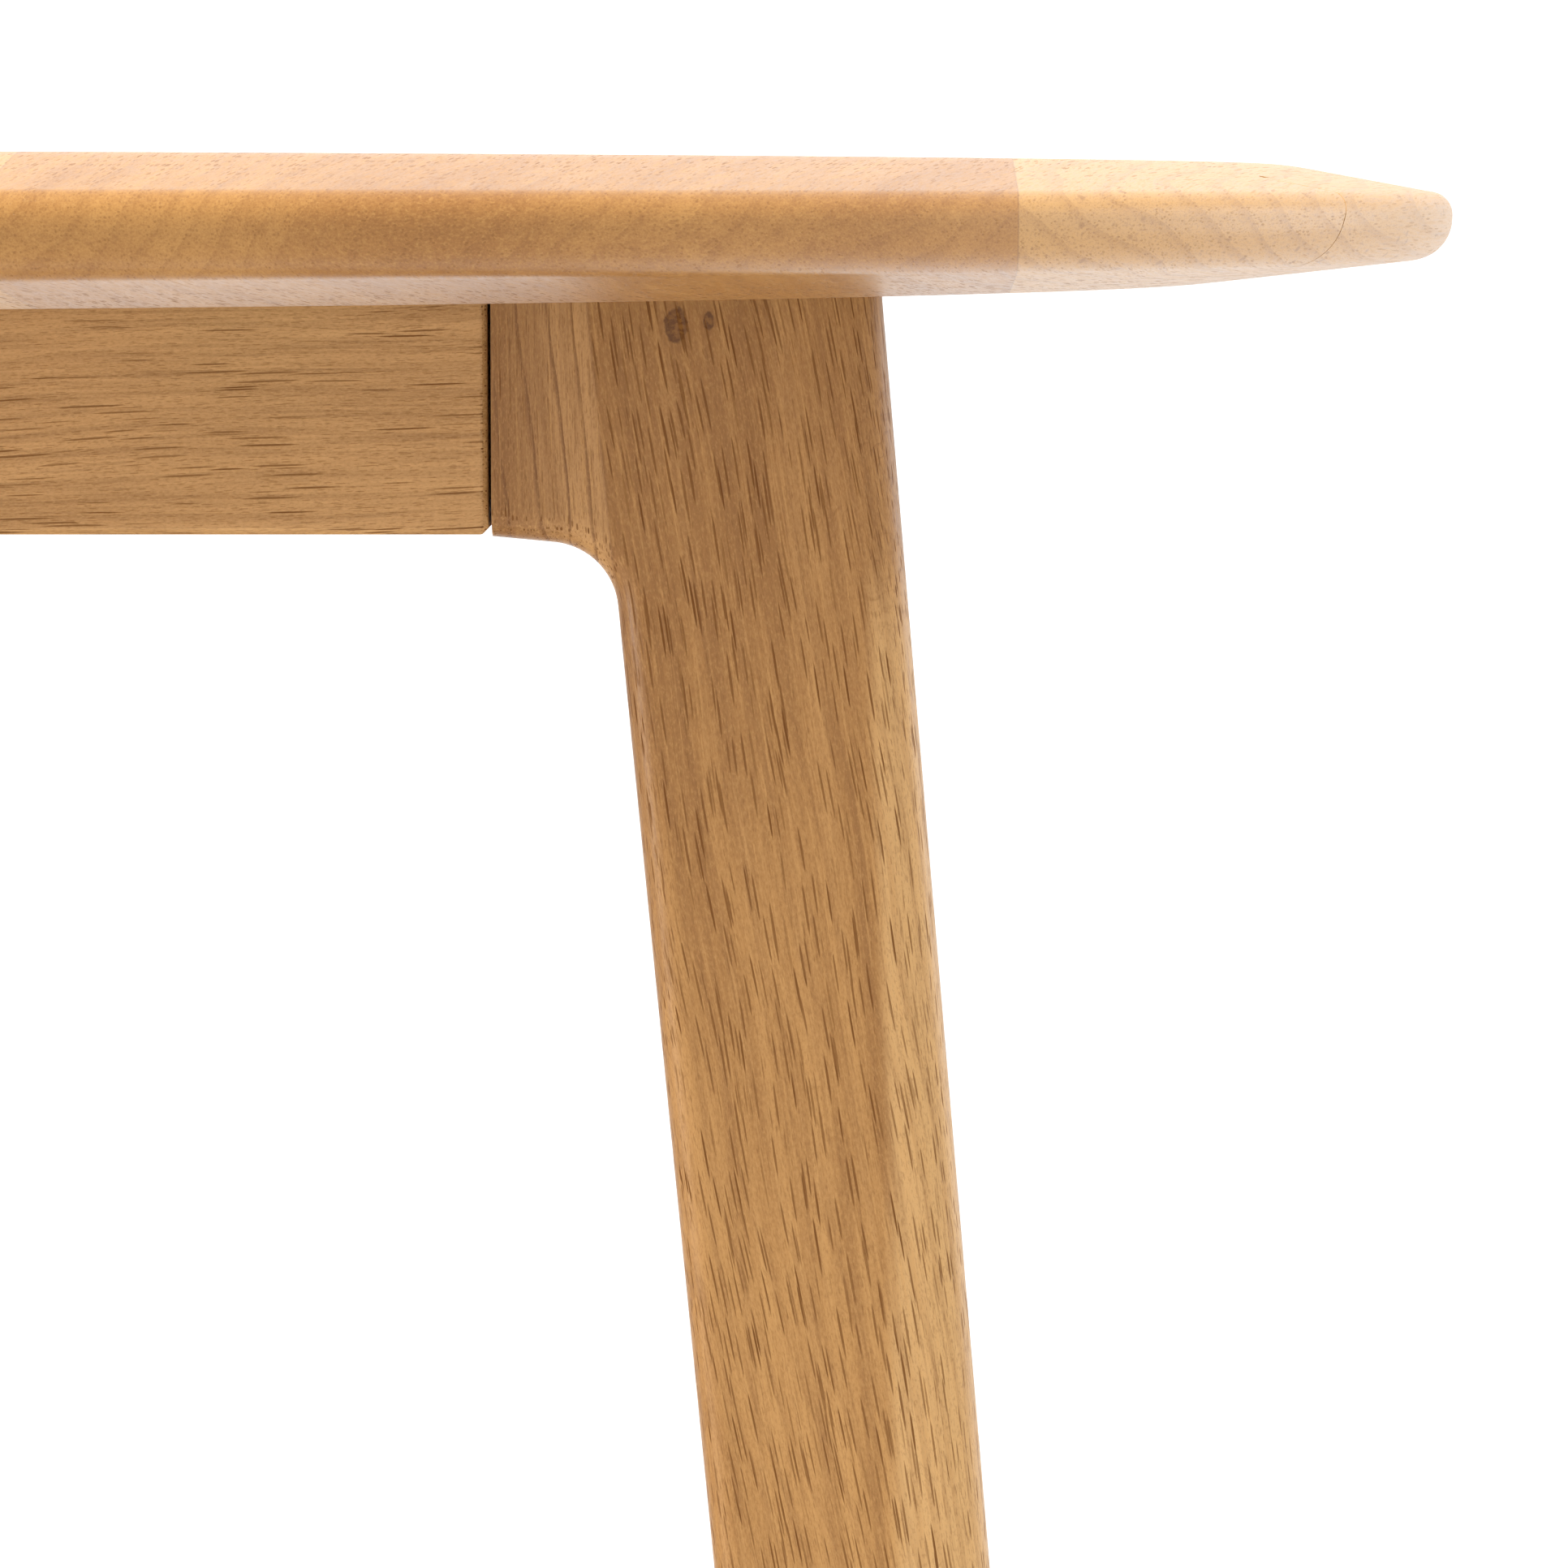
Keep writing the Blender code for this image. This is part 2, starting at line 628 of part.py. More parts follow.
def gate_post(name, pivot):
    low_z = STRETCHER_Z[1] + POST_CLEARANCE
    high_z = APRON_BOTTOM - POST_CLEARANCE
    corner = (POST_HALF_WIDTH, POST_HALF_DEPTH)
    post = box(name, (-corner[0], -corner[1], low_z), (*corner, high_z), pivot, OAK)
    ease_edges(post, 0.003)
    bore = PIVOT_PIN_RADIUS + 2 * GAP
    lower_end = low_z + PIVOT_PIN_IN_POST + GAP
    upper_end = high_z - PIVOT_PIN_IN_POST - GAP
    cut(post, rod("post_bore", bore, (0, 0, low_z - 0.01), (0, 0, lower_end), pivot, sides=16))
    cut(post, rod("post_bore", bore, (0, 0, upper_end), (0, 0, high_z + 0.01), pivot, sides=16))
    return post


def pivot_pins(name, pivot):
    low_z = STRETCHER_Z[1] + POST_CLEARANCE
    high_z = APRON_BOTTOM - POST_CLEARANCE
    lower = (STRETCHER_Z[1] - PIVOT_PIN_IN_RAIL, low_z + PIVOT_PIN_IN_POST)
    upper = (high_z - PIVOT_PIN_IN_POST, APRON_BOTTOM + PIVOT_PIN_IN_RAIL)
    for which, (start, end) in (("lower", lower), ("upper", upper)):
        pin = f"{name}_{which}_pivot_pin"
        rod(pin, PIVOT_PIN_RADIUS, (0, 0, start), (0, 0, end), pivot, STEEL, sides=16)


def gate_leg(name, pivot):
    """A leg like the frame's, lapped at the back where it folds over the apron and the stretcher."""
    outline = [
        (gate_inner(LEG_FOOT), LEG_FOOT),
        (gate_outer(LEG_FOOT), LEG_FOOT),
        (gate_outer(GATE_LEG_TOP), GATE_LEG_TOP),
        (gate_inner(GATE_LEG_TOP), GATE_LEG_TOP),
    ]
    front, back = PIVOT_Y - FACE_Y, PIVOT_Y - LEG_BACK_Y
    leg = upright_prism(name, outline, front, back, pivot, OAK)
    round_edges(leg, OUTER_ROUND, lambda x, z: abs(x - gate_outer(z)) < 1e-4)
    round_edges(leg, INNER_ROUND, lambda x, z: abs(x - gate_inner(z)) < 1e-4)
    low_z, high_z = STRETCHER_Z[0] - NOTCH_HEIGHT_ROOM, STRETCHER_Z[1] + NOTCH_HEIGHT_ROOM
    laps = ((TONGUE_FOOT_Z, 0.75, TONGUE_BACK_Y), (low_z, high_z, LOW_LAP_BACK_Y))
    for start, end, lap_y in laps:
        low = (0.15, PIVOT_Y - lap_y, start)
        cut(leg, box(name + "_lap", low, (0.40, back + 0.01, end), pivot))
    foot_x = foot_centre(gate_inner, gate_outer)
    cut(leg, foot_bore(pivot, foot_x, (front + back) / 2))
    levelling_foot(name.replace("_leg", "_foot"), pivot, foot_x, (front + back) / 2)
    return leg


def gate_rail(name, z_range, pivot, post, leg):
    """A rail from the post to the leg, with its far end cut to the leg's splay."""
    start = POST_HALF_WIDTH + GAP
    ends = [(gate_inner(z) - GAP, z) for z in z_range]
    outline = [(start, z_range[0]), ends[0], ends[1], (start, z_range[1])]
    rail = upright_prism(name, outline, -GATE_RAIL_HALF_DEPTH, GATE_RAIL_HALF_DEPTH, pivot, OAK)
    ease_edges(rail)
    y, z_low, z_high = 0.004, z_range[0] + TENON_SHOULDER, z_range[1] - TENON_SHOULDER
    tenon_box(rail, (0.0078, -y, z_low), (start + 0.010, y, z_high), pivot, post)
    tenon_box(rail, (ends[1][0] - 0.010, -y, z_low), (ends[0][0] + 0.022, y, z_high), pivot, leg)


def gate(name, half):
    pivot = add_empty(name + "_swing", half, (-PIVOT_X, -PIVOT_Y, 0.0))
    post = gate_post(name + "_post", pivot)
    pivot_pins(name, pivot)
    leg = gate_leg(name + "_leg", pivot)
    gate_rail(name + "_top_rail", GATE_TOP_RAIL_Z, pivot, post, leg)
    gate_rail(name + "_low_rail", GATE_LOW_RAIL_Z, pivot, post, leg)


def stop_block(name, swing):
    """The block under a leaf that the opened gate comes up against."""
    top = UNDERSIDE - PIN_Z - GAP
    low = (STOP_LOW[0], JOINT_LINE - STOP_HIGH[1], top - STOP_THICKNESS)
    high = (STOP_HIGH[0], JOINT_LINE - STOP_LOW[1], top)
    ease_edges(box(name, low, high, swing, OAK))


def build_half(half, side, near_ends, disc):
    """The leaf, gate, rails and small pieces of one side, and the two legs of that side."""
    swing = add_empty(f"leaf_{side}_drop", half, (0.0, -JOINT_LINE, PIN_Z))
    drop_leaf(f"leaf_{side}", disc, half, swing)
    stop_block(f"leaf_{side}_stop", swing)
    gate(f"gate_{side}", half)
    legs = []
    for sign, end in zip((-1, 1), near_ends):
        leg_name = f"{side}_{end}"
        legs.append(frame_leg(f"leg_{leg_name}", half, sign))
        foot_x = sign * foot_centre(leg_inner, leg_outer)
        levelling_foot(f"foot_{leg_name}", half, foot_x, -(FACE_Y + LEG_BACK_Y) / 2)
        corner_block(f"corner_block_{leg_name}", half, sign)
        top_bracket(f"top_bracket_{leg_name}", half, sign * BRACKET_X)
        rule_hinge(f"hinge_{leg_name}", half, swing, sign * HINGE_X)
    long_apron(f"apron_{side}", half, legs)
    long_stretcher(f"stretcher_{side}", half, legs)
    return legs


def main():
    clear_scene()
    new_collection("gateleg_table")
    new_collection("cutters")
    for name, (colour, roughness, metallic) in FINISHES.items():
        make_material(name, colour, roughness, metallic)
    front = add_empty("front_half")
    back = add_empty("back_half", turn=math.pi)
    disc = top_disc()
    centre_panel(disc, (front, back))
    front_legs = build_half(front, "front", ("left", "right"), disc)
    back_legs = build_half(back, "back", ("right", "left"), disc)
    apron_z, ends = (APRON_BOTTOM, LEG_TOP), (("right", front), ("left", back))
    legs_at = {"right": (front_legs[1], back_legs[0]), "left": (back_legs[1], front_legs[0])}
    for end, half in ends:
        end_rail(f"apron_{end}", END_APRON_X, apron_z, half, legs_at[end])
        end_rail(f"stretcher_{end}", END_STRETCHER_X, STRETCHER_Z, half, legs_at[end])
    bpy.data.meshes.remove(disc)


main()
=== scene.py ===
"""The looks of the round oak gateleg table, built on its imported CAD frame.

The top and the legs are rebuilt here at full smoothness, and screws are added. The other CAD pieces keep
their shape, with eased edges. Every wooden piece has its own procedural oak, with the grain along it. Metres,
+Z up.
"""

import json
import math
import random

import bmesh
import bpy
from mathutils import Matrix, Vector


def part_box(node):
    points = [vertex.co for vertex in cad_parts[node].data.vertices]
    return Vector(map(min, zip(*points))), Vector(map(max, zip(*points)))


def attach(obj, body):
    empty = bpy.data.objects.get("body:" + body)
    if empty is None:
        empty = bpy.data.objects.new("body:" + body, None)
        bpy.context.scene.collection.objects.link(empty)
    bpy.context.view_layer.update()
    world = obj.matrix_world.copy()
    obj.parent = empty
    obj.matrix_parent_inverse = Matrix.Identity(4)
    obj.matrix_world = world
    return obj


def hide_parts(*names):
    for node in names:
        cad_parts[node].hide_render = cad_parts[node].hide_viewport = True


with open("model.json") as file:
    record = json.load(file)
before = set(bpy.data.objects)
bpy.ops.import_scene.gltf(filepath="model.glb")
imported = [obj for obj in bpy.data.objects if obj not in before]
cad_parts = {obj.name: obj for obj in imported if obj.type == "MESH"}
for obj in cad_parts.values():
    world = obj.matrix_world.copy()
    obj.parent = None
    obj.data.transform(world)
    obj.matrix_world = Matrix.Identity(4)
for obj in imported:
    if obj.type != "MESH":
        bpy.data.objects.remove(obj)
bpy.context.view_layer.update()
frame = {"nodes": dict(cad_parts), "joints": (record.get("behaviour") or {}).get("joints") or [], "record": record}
nodes = frame["nodes"]

# Sizes in metres, from the frame where it can give them

PANEL_LOW, PANEL_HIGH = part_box("centre_panel")
LEG_LOW, LEG_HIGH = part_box("leg_front_right")
GATE_LOW, GATE_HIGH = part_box("gate_front_leg")
TOP_Z = PANEL_HIGH[2]
UNDERSIDE = PANEL_LOW[2]
TOP_RADIUS = PANEL_HIGH[0]
LEAF_PIN = next(joint["pos_m"] for joint in frame["joints"] if joint["name"] == "leaf_front_drop")
PIN_Z = LEAF_PIN[2]
JOINT_LINE = abs(LEAF_PIN[1])  # how far from the middle of the table each rule joint's hinge pins are

UPPER_BEVEL = (0.043, math.radians(10.5))  # how far in from the rim it reaches, and its slope
LOWER_BEVEL = (0.062, math.radians(6.4))
UPPER_NOSE_RADIUS = 0.0058
LOWER_NOSE_RADIUS = 0.0105
CREASE_RADIUS = 0.070  # where a bevel runs out into a flat
RIM_STEPS = 480
RULE_RADIUS = PANEL_HIGH[1] - JOINT_LINE
RULE_CLEARANCE = 0.0004  # between the cove and the ovolo
SEAM = 0.0001  # between two pieces of the top, where they meet in its face
DISC_MERGE = 0.00002  # a spun disc's ends meet only to within this
BEYOND = 0.01  # how far a cutter reaches past what it cuts

OUTER_SPLAY = 0.0867  # how far a leg's edges come in for each metre up
INNER_SPLAY = 0.0971
OUTER_FOOT_X = LEG_HIGH[0] + OUTER_SPLAY * LEG_LOW[2]  # of the outer edge, at the floor
INNER_FOOT_X = 0.4010  # of the inner edge, at the floor
SHOULDER_X = LEG_LOW[0]  # the shoulder's end, against the apron
SHOULDER_Z = 0.6527
SHOULDER_SLOPE = -0.094
SHOULDER_FILLET = 0.0165
OUTER_ROUND = 0.0105  # the rounding along a leg's outer and inner edges
INNER_ROUND = 0.0075
FOOT_BORE = (0.0046, 0.040)  # radius, and how high it reaches
GATE_FOOT_OUTER = GATE_HIGH[0] + OUTER_SPLAY * GATE_LOW[2]
GATE_FOOT_INNER = GATE_FOOT_OUTER - (OUTER_FOOT_X - INNER_FOOT_X)

HINGE_PLATE = 0.0018  # how thick a hinge's flaps are
PIN_ROOM = Vector((0.0012, 0.0064, 0.0038))  # past the ends of a hinge's pin, to each side, and above
OPEN_BELOW = 0.002  # how far a hinge's recess reaches below the underside
APRON_LAP_Z = 0.650  # the foot of the lap in a gate's leg over the apron
APRON_LAP_WALL = 0.0145  # the wood that each lap leaves at the leg's front
STRETCHER_LAP_WALL = 0.017
STRETCHER_LAP_GAP = 0.003
RAIL_EASE, FITTING_EASE = 0.0007, 0.0003  # the bevels on the carried-over pieces

HINGE_SCREW, STOP_SCREW, BRACKET_SCREW, BLOCK_SCREW = 0.0032, 0.0035, 0.0035, 0.0040  # their heads' radii
SCREW_PROUD = 0.0005  # how far a head's face stands out of what it holds
RECESS_DEPTH = 0.00045
HEAD_STEPS = 28


# Mesh tools


def add_piece(name, mesh):
    piece = bpy.data.objects.new(name, mesh)
    bpy.context.scene.collection.objects.link(piece)
    return piece


def mesh_from(name, bm):
    mesh = bpy.data.meshes.new(name)
    bm.to_mesh(mesh)
    bm.free()
    return mesh


def smooth(mesh, degrees):
    mesh.shade_smooth()
    mesh.set_sharp_from_angle(angle=math.radians(degrees))


def fillet(before, corner, after, radius, steps):
    """The arc of this radius that rounds a corner between two straight lines."""
    to_before = (Vector(before) - Vector(corner)).normalized()
    to_after = (Vector(after) - Vector(corner)).normalized()
    half = to_before.angle(to_after) / 2
    centre = Vector(corner) + (to_before + to_after).normalized() * radius / math.sin(half)
    start = Vector(corner) + to_before * radius / math.tan(half) - centre
    sweep = start.angle_signed(Vector(corner) + to_after * radius / math.tan(half) - centre)
    return [tuple(centre + Matrix.Rotation(-sweep * i / steps, 2) @ start) for i in range(steps + 1)]


def arc(centre, radius, start, end, steps):
    angles = [math.radians(start + (end - start) * i / steps) for i in range(steps + 1)]
    return [(centre[0] + radius * math.cos(a), centre[1] + radius * math.sin(a)) for a in angles]


def prism(outline, low, high, place):
    """A bmesh of a flat outline between two depths; place turns (u, v, depth) into a point."""
    bm = bmesh.new()
    near = [bm.verts.new(place(u, v, low)) for u, v in outline]
    face = bm.faces.new(near)
    moved = bmesh.ops.extrude_face_region(bm, geom=[face])
    shift = Vector(place(0.0, 0.0, high)) - Vector(place(0.0, 0.0, low))
    verts = [item for item in moved["geom"] if isinstance(item, bmesh.types.BMVert)]
    bmesh.ops.translate(bm, verts=verts, vec=shift)
    bmesh.ops.recalc_face_normals(bm, faces=bm.faces)
    return bm


def in_order(mesh):
    """Sorts a mesh's vertices and faces by place, because a Boolean's order changes from run to run."""
    bm = bmesh.new()
    bm.from_mesh(mesh)
    for index, vertex in enumerate(sorted(bm.verts, key=lambda v: tuple(round(c, 6) for c in v.co))):
        vertex.index = index
    bm.verts.sort()
    for index, face in enumerate(sorted(bm.faces, key=lambda f: sorted(v.index for v in f.verts))):
        face.index = index
    bm.faces.sort()
    bm.to_mesh(mesh)
    bm.free()
    return mesh


def boolean(piece, cutter_mesh, operation):
    """Cuts or intersects a piece with a mesh, and keeps only the result."""
    cutter = add_piece("cutter", cutter_mesh)
    modifier = piece.modifiers.new("boolean", "BOOLEAN")
    modifier.operation = operation
    modifier.object = cutter
    evaluated = piece.evaluated_get(bpy.context.evaluated_depsgraph_get())
    result = bpy.data.meshes.new_from_object(evaluated)
    piece.modifiers.clear()
    piece.data = in_order(result)
    bpy.data.objects.remove(cutter)


def box_mesh(low, high):
    size = Vector(high) - Vector(low)
    middle = (Vector(low) + Vector(high)) / 2
    bm = bmesh.new()
    place = Matrix.Translation(middle) @ Matrix.Diagonal((*size, 1.0))
    bmesh.ops.create_cube(bm, size=1.0, matrix=place)
    return mesh_from("box", bm)


def rod_mesh(radius, low, high, x, y):
    bm = bmesh.new()
    place = Matrix.Translation((x, y, (low + high) / 2))
    bmesh.ops.create_cone(
        bm, cap_ends=True, segments=32, radius1=radius, radius2=radius, depth=high - low, matrix=place
    )
    return mesh_from("rod", bm)


# Nodes


class Shading:
    """One material's nodes, added and wired in the order that a surface is thought out."""

    def __init__(self, name):
        self.material = bpy.data.materials.new(name)
        self.material.use_nodes = True
        self.tree = self.material.node_tree
        self.shader = self.tree.nodes["Principled BSDF"]

    def feed(self, socket, value):
        if isinstance(value, bpy.types.NodeSocket):
            self.tree.links.new(value, socket)
        else:
            socket.default_value = value

    def add(self, kind, values, output=0, **settings):
        """A node with its settings and its inputs, given by name or by number. Returns one output."""
        node = self.tree.nodes.new(kind)
        for key, value in settings.items():
            setattr(node, key, value)
        for key, value in values.items():
            self.feed(node.inputs[key], value)
        return node.outputs[output]

    def math(self, operation, first, second=0.0, third=0.0, clamp=False):
        values = {0: first, 1: second, 2: third}
        return self.add("ShaderNodeMath", values, operation=operation, use_clamp=clamp)

    def vector(self, operation, first, second=(0.0, 0.0, 0.0), output=0):
        values = {0: first, 1: second}
        return self.add("ShaderNodeVectorMath", values, output, operation=operation)

    def combine(self, x, y, z):
        return self.add("ShaderNodeCombineXYZ", {0: x, 1: y, 2: z})

    def noise(self, where, scale=1.0, detail=2.0, roughness=0.5):
        values = {"Vector": where, "Scale": scale, "Detail": detail, "Roughness": roughness}
        return self.add("ShaderNodeTexNoise", values)

    def spread(self, value, low, high, to_low=0.0, to_high=1.0):
        """The value's range from low to high turned smoothly into the range from to_low to to_high."""
        values = {0: value, 1: low, 2: high, 3: to_low, 4: to_high}
        return self.add("ShaderNodeMapRange", values, interpolation_type="SMOOTHSTEP")

    def blend(self, factor, first, second):
        """The first colour where the factor is 0, and the second where it is 1."""
        node = self.tree.nodes.new("ShaderNodeMix")
        node.data_type = "RGBA"
        node.blend_type = "MIX"
        node.clamp_factor = True
        self.feed(node.inputs[0], factor)
        self.feed(node.inputs[6], first)
        self.feed(node.inputs[7], second)
        return node.outputs[2]

    def bump(self, height, distance, strength):
        values = {"Height": height, "Distance": distance, "Strength": strength}
        return self.add("ShaderNodeBump", values)

    def object_point(self):
        return self.add("ShaderNodeTexCoord", {}, output=3)


def linear(red, green, blue):
    """A screen colour, 0 to 255, as the linear colour that a shader takes."""
    channels = [channel / 255 for channel in (red, green, blue)]
    return (*[c / 12.92 if c <= 0.04045 else ((c + 0.055) / 1.055) ** 2.4 for c in channels], 1.0)


# Oak

TONES = {
    # each wood's dark, middle and light tone
    "leg": (linear(122, 80, 36), linear(158, 113, 58), linear(186, 141, 84)),
    "rail": (linear(122, 83, 40), linear(161, 119, 69), linear(200, 156, 102)),
    "top": (linear(123, 78, 33), linear(152, 104, 48), linear(174, 129, 69)),
    "sapwood": (linear(176, 134, 80), linear(196, 156, 102), linear(212, 176, 122)),
    "pale": (linear(158, 116, 62), linear(184, 142, 86), linear(203, 163, 106)),
}
PORE = linear(100, 62, 30)
KNOT = linear(82, 48, 16)
GLUE_LINE = linear(118, 80, 44)


def board_point(shading, grain, across, seed):
    """The point in a board's own space: X across its width, Y through it, Z along its grain, which sways."""
    along = Vector(grain).normalized()
    width = (Vector(across) - along * Vector(across).dot(along)).normalized()
    depth = along.cross(width)
    point = shading.object_point()
    parts = [shading.vector("DOT_PRODUCT", point, tuple(axis), output=1) for axis in (width, depth, along)]
    offset = random.Random(seed)
    straight = shading.combine(*[shading.math("ADD", part, offset.uniform(-3, 3)) for part in parts])
    sway = shading.noise(stretched(shading, straight, 16.0, 5.0), detail=2.0)
    sideways = shading.math("MULTIPLY_ADD", sway, 0.016, -0.008)
    return shading.vector("ADD", straight, shading.combine(sideways, 0.0, 0.0))


def stretched(shading, where, across, along):
    """The board's point scaled to so many cells a metre across the grain and along it."""
    return shading.vector("MULTIPLY", where, (across, across, along))


def pore_layer(shading, where, across, along, size, seed, rarity=0.0):
    """Vessels cut by the surface: thin dashes along the face, and dots on the end grain."""
    shifted = shading.vector("ADD", stretched(shading, where, across, along), (seed, seed * 1.7, seed * 2.3))
    distance = shading.add("ShaderNodeTexVoronoi", {"Vector": shifted, "Scale": 1.0, "Randomness": 1.0})
    dash = shading.spread(distance, size, size * 0.68)
    strength = shading.spread(distance.node.outputs["Color"], 0.25 + rarity, 0.60 + rarity)
    return shading.math("MULTIPLY", dash, strength)


def ring_phase(shading, where, pith, spacing, wander):
    """Where a point lies between two growth rings, 0 to 1, for a pith that far from the board."""
    drift = shading.noise(stretched(shading, where, 9.0, 2.2), detail=3.0, roughness=0.55)
    axis = shading.vector("MULTIPLY", where, (1.0, 1.0, 0.02))
    radius = shading.vector("LENGTH", shading.vector("ADD", axis, pith), output=1)
    wandered = shading.math("MULTIPLY_ADD", drift, wander, radius)
    return shading.math("FRACT", shading.math("DIVIDE", wandered, spacing))


def oak(name, wood, where_of, seed, rings=0.0045, pores=1.0, dash=1.0, paint=None, coat=0.0, knots=()):
    """Satin oak. where_of(shading) gives the board's space, and paint adds that board's own figure and marks, and
    on a leg painted shade too.
    """
    shading = Shading(name)
    dark, middle, light = TONES[wood]
    where = where_of(shading)
    phase = ring_phase(shading, where, (0.05, 0.13, 0.0), rings, 0.05)
    early = shading.spread(phase, 0.45, 0.08)
    late = shading.spread(phase, 0.55, 0.98)

    cloud = shading.noise(stretched(shading, where, 28.0, 3.0), detail=3.0, roughness=0.55)
    streak = shading.noise(stretched(shading, where, 260.0, 5.0), detail=3.0, roughness=0.6)
    fibre = shading.noise(stretched(shading, where, 1500.0, 32.0), detail=3.0, roughness=0.6)
    grit = shading.noise(stretched(shading, where, 2600.0, 900.0), detail=2.0, roughness=0.6)
    colour = shading.blend(shading.spread(cloud, 0.30, 0.70), dark, light)
    colour = shading.blend(0.62, colour, middle)
    colour = shading.blend(shading.spread(streak, 0.50, 0.75, 0.0, 0.30), colour, light)
    colour = shading.blend(shading.spread(streak, 0.50, 0.25, 0.0, 0.28), colour, dark)
    if paint is not None:
        colour = paint(shading, colour, where)
    colour = shading.blend(shading.math("MULTIPLY", late, 0.24), colour, dark)
    colour = shading.blend(shading.spread(fibre, 0.50, 0.72, 0.0, 0.42), colour, light)
    colour = shading.blend(shading.spread(fibre, 0.50, 0.28, 0.0, 0.36), colour, dark)
    colour = shading.blend(shading.spread(grit, 0.50, 0.70, 0.0, 0.28), colour, light)
    colour = shading.blend(shading.spread(grit, 0.50, 0.30, 0.0, 0.34), colour, dark)

    coarse = pore_layer(shading, where, 1150.0, 46.0 / dash, 0.34, seed * 0.37, 0.20)
    second = pore_layer(shading, where, 1320.0, 62.0 / dash, 0.33, seed * 0.71 + 4.0, 0.20)
    third = pore_layer(shading, where, 1240.0, 53.0 / dash, 0.33, seed * 0.91 + 7.0, 0.20)
    coarse = shading.math("MAXIMUM", coarse, third)
    fine = pore_layer(shading, where, 2200.0, 260.0, 0.34, seed * 0.53 + 9.0)
    amount = shading.math("MULTIPLY_ADD", early, 0.25, 0.75)
    vessels = shading.math("MULTIPLY", shading.math("MAXIMUM", coarse, second), amount)
    specks = shading.math("MULTIPLY", fine, 0.35)
    marks = shading.math("MULTIPLY", shading.math("MAXIMUM", vessels, specks), pores, clamp=True)
    if wood == "top":
        flat = shading.vector("MULTIPLY", shading.object_point(), (1.0, 1.0, 0.0))
        rim = shading.vector("LENGTH", flat, output=1)
        marks = shading.math("MULTIPLY", marks, shading.spread(rim, 0.500, 0.545, 1.0, 0.45))
    colour = shading.blend(shading.math("MULTIPLY", marks, 0.92), colour, PORE)

    for centre, size in knots:
        colour = knot(shading, colour, shading.object_point(), centre, size)

    shading.feed(shading.shader.inputs["Base Color"], colour)
    sheen = shading.spread(fibre, 0.25, 0.75, 0.30, 0.42)
    roughness = shading.math("MULTIPLY_ADD", marks, 0.25, sheen)
    shading.feed(shading.shader.inputs["Roughness"], roughness)
    relief = shading.math("MULTIPLY_ADD", marks, -1.0, shading.math("MULTIPLY", fibre, 0.22))
    shading.feed(shading.shader.inputs["Normal"], shading.bump(relief, 0.00012, 0.55))
    specular = shading.math("MULTIPLY_ADD", marks, -0.25, 0.30)
    shading.feed(shading.shader.inputs["Specular IOR Level"], specular)
    shading.shader.inputs["Coat Weight"].default_value = coat
    shading.shader.inputs["Coat Roughness"].default_value = 0.24
    shading.shader.inputs["Coat IOR"].default_value = 1.3
    return shading.material


def plain_board(grain, across, seed):
    return lambda shading: board_point(shading, grain, across, seed)


def stave_index(shading, edge, width, tilt):
    """Which stave of the top a point is in, as a count from the joint at edge."""
    x = shading.vector("DOT_PRODUCT", shading.object_point(), (1.0, tilt, 0.0), output=1)
    return shading.math("DIVIDE", shading.math("SUBTRACT", x, edge), width)


def stave_boards(grain, seed, edge, width, tilt):
    """Each stave of the top is cut from another place in the tree."""

    def where_of(shading):
        whole = shading.math("FLOOR", stave_index(shading, edge, width, tilt))
        jump = [shading.math("MULTIPLY", whole, step) for step in (1.37, 0.71)]
        board = board_point(shading, grain, (1, 0, 0), seed)
        return shading.vector("ADD", board, shading.combine(*jump, 0.0))

    return where_of


def staves(edge, width, tilt):
    """Paints the top's glued staves: each has its own tone, with a hair line of glue between two."""

    def paint(shading, colour, _where):
        count = stave_index(shading, edge, width, tilt)
        whole = shading.math("FLOOR", count)
        tone = shading.math("FRACT", shading.math("MULTIPLY_ADD", whole, 0.618, 1.118))
        colour = shading.blend(shading.spread(tone, 0.5, 1.0, 0.0, 0.65), colour, TONES["pale"][1])
        colour = shading.blend(shading.spread(tone, 0.5, 0.0, 0.0, 0.45), colour, TONES["leg"][0])
        outermost = shading.spread(whole, -0.5, -0.4)
        colour = shading.blend(shading.math("MULTIPLY", outermost, 0.80), colour, TONES["pale"][1])
        marked = shading.vector("MULTIPLY", shading.object_point(), (120.0, 120.0, 190.0))
        mark = shading.add("ShaderNodeTexVoronoi", {"Vector": marked, "Scale": 1.0})
        spot = shading.math("MULTIPLY", shading.spread(mark, 0.20, 0.08, 0.0, 0.55), outermost)
        colour = shading.blend(spot, colour, TONES["leg"][0])
        beside = shading.math("FRACT", count)
        nearest = shading.math("MINIMUM", beside, shading.math("SUBTRACT", 1.0, beside))
        line = shading.spread(nearest, 0.0014, 0.0004, 0.0, 0.45)
        return shading.blend(line, colour, GLUE_LINE)

    return paint


def shoulder_mask(shading, side, inner_x):
    """1 on the stave that makes a leg's shoulder and 0 on its main board, and the distance to their joint."""
    slant = shading.vector("DOT_PRODUCT", shading.object_point(), (side, 0.0, INNER_SPLAY), output=1)
    past = shading.math("SUBTRACT", slant, inner_x)
    return shading.math("LESS_THAN", past, 0.0), past


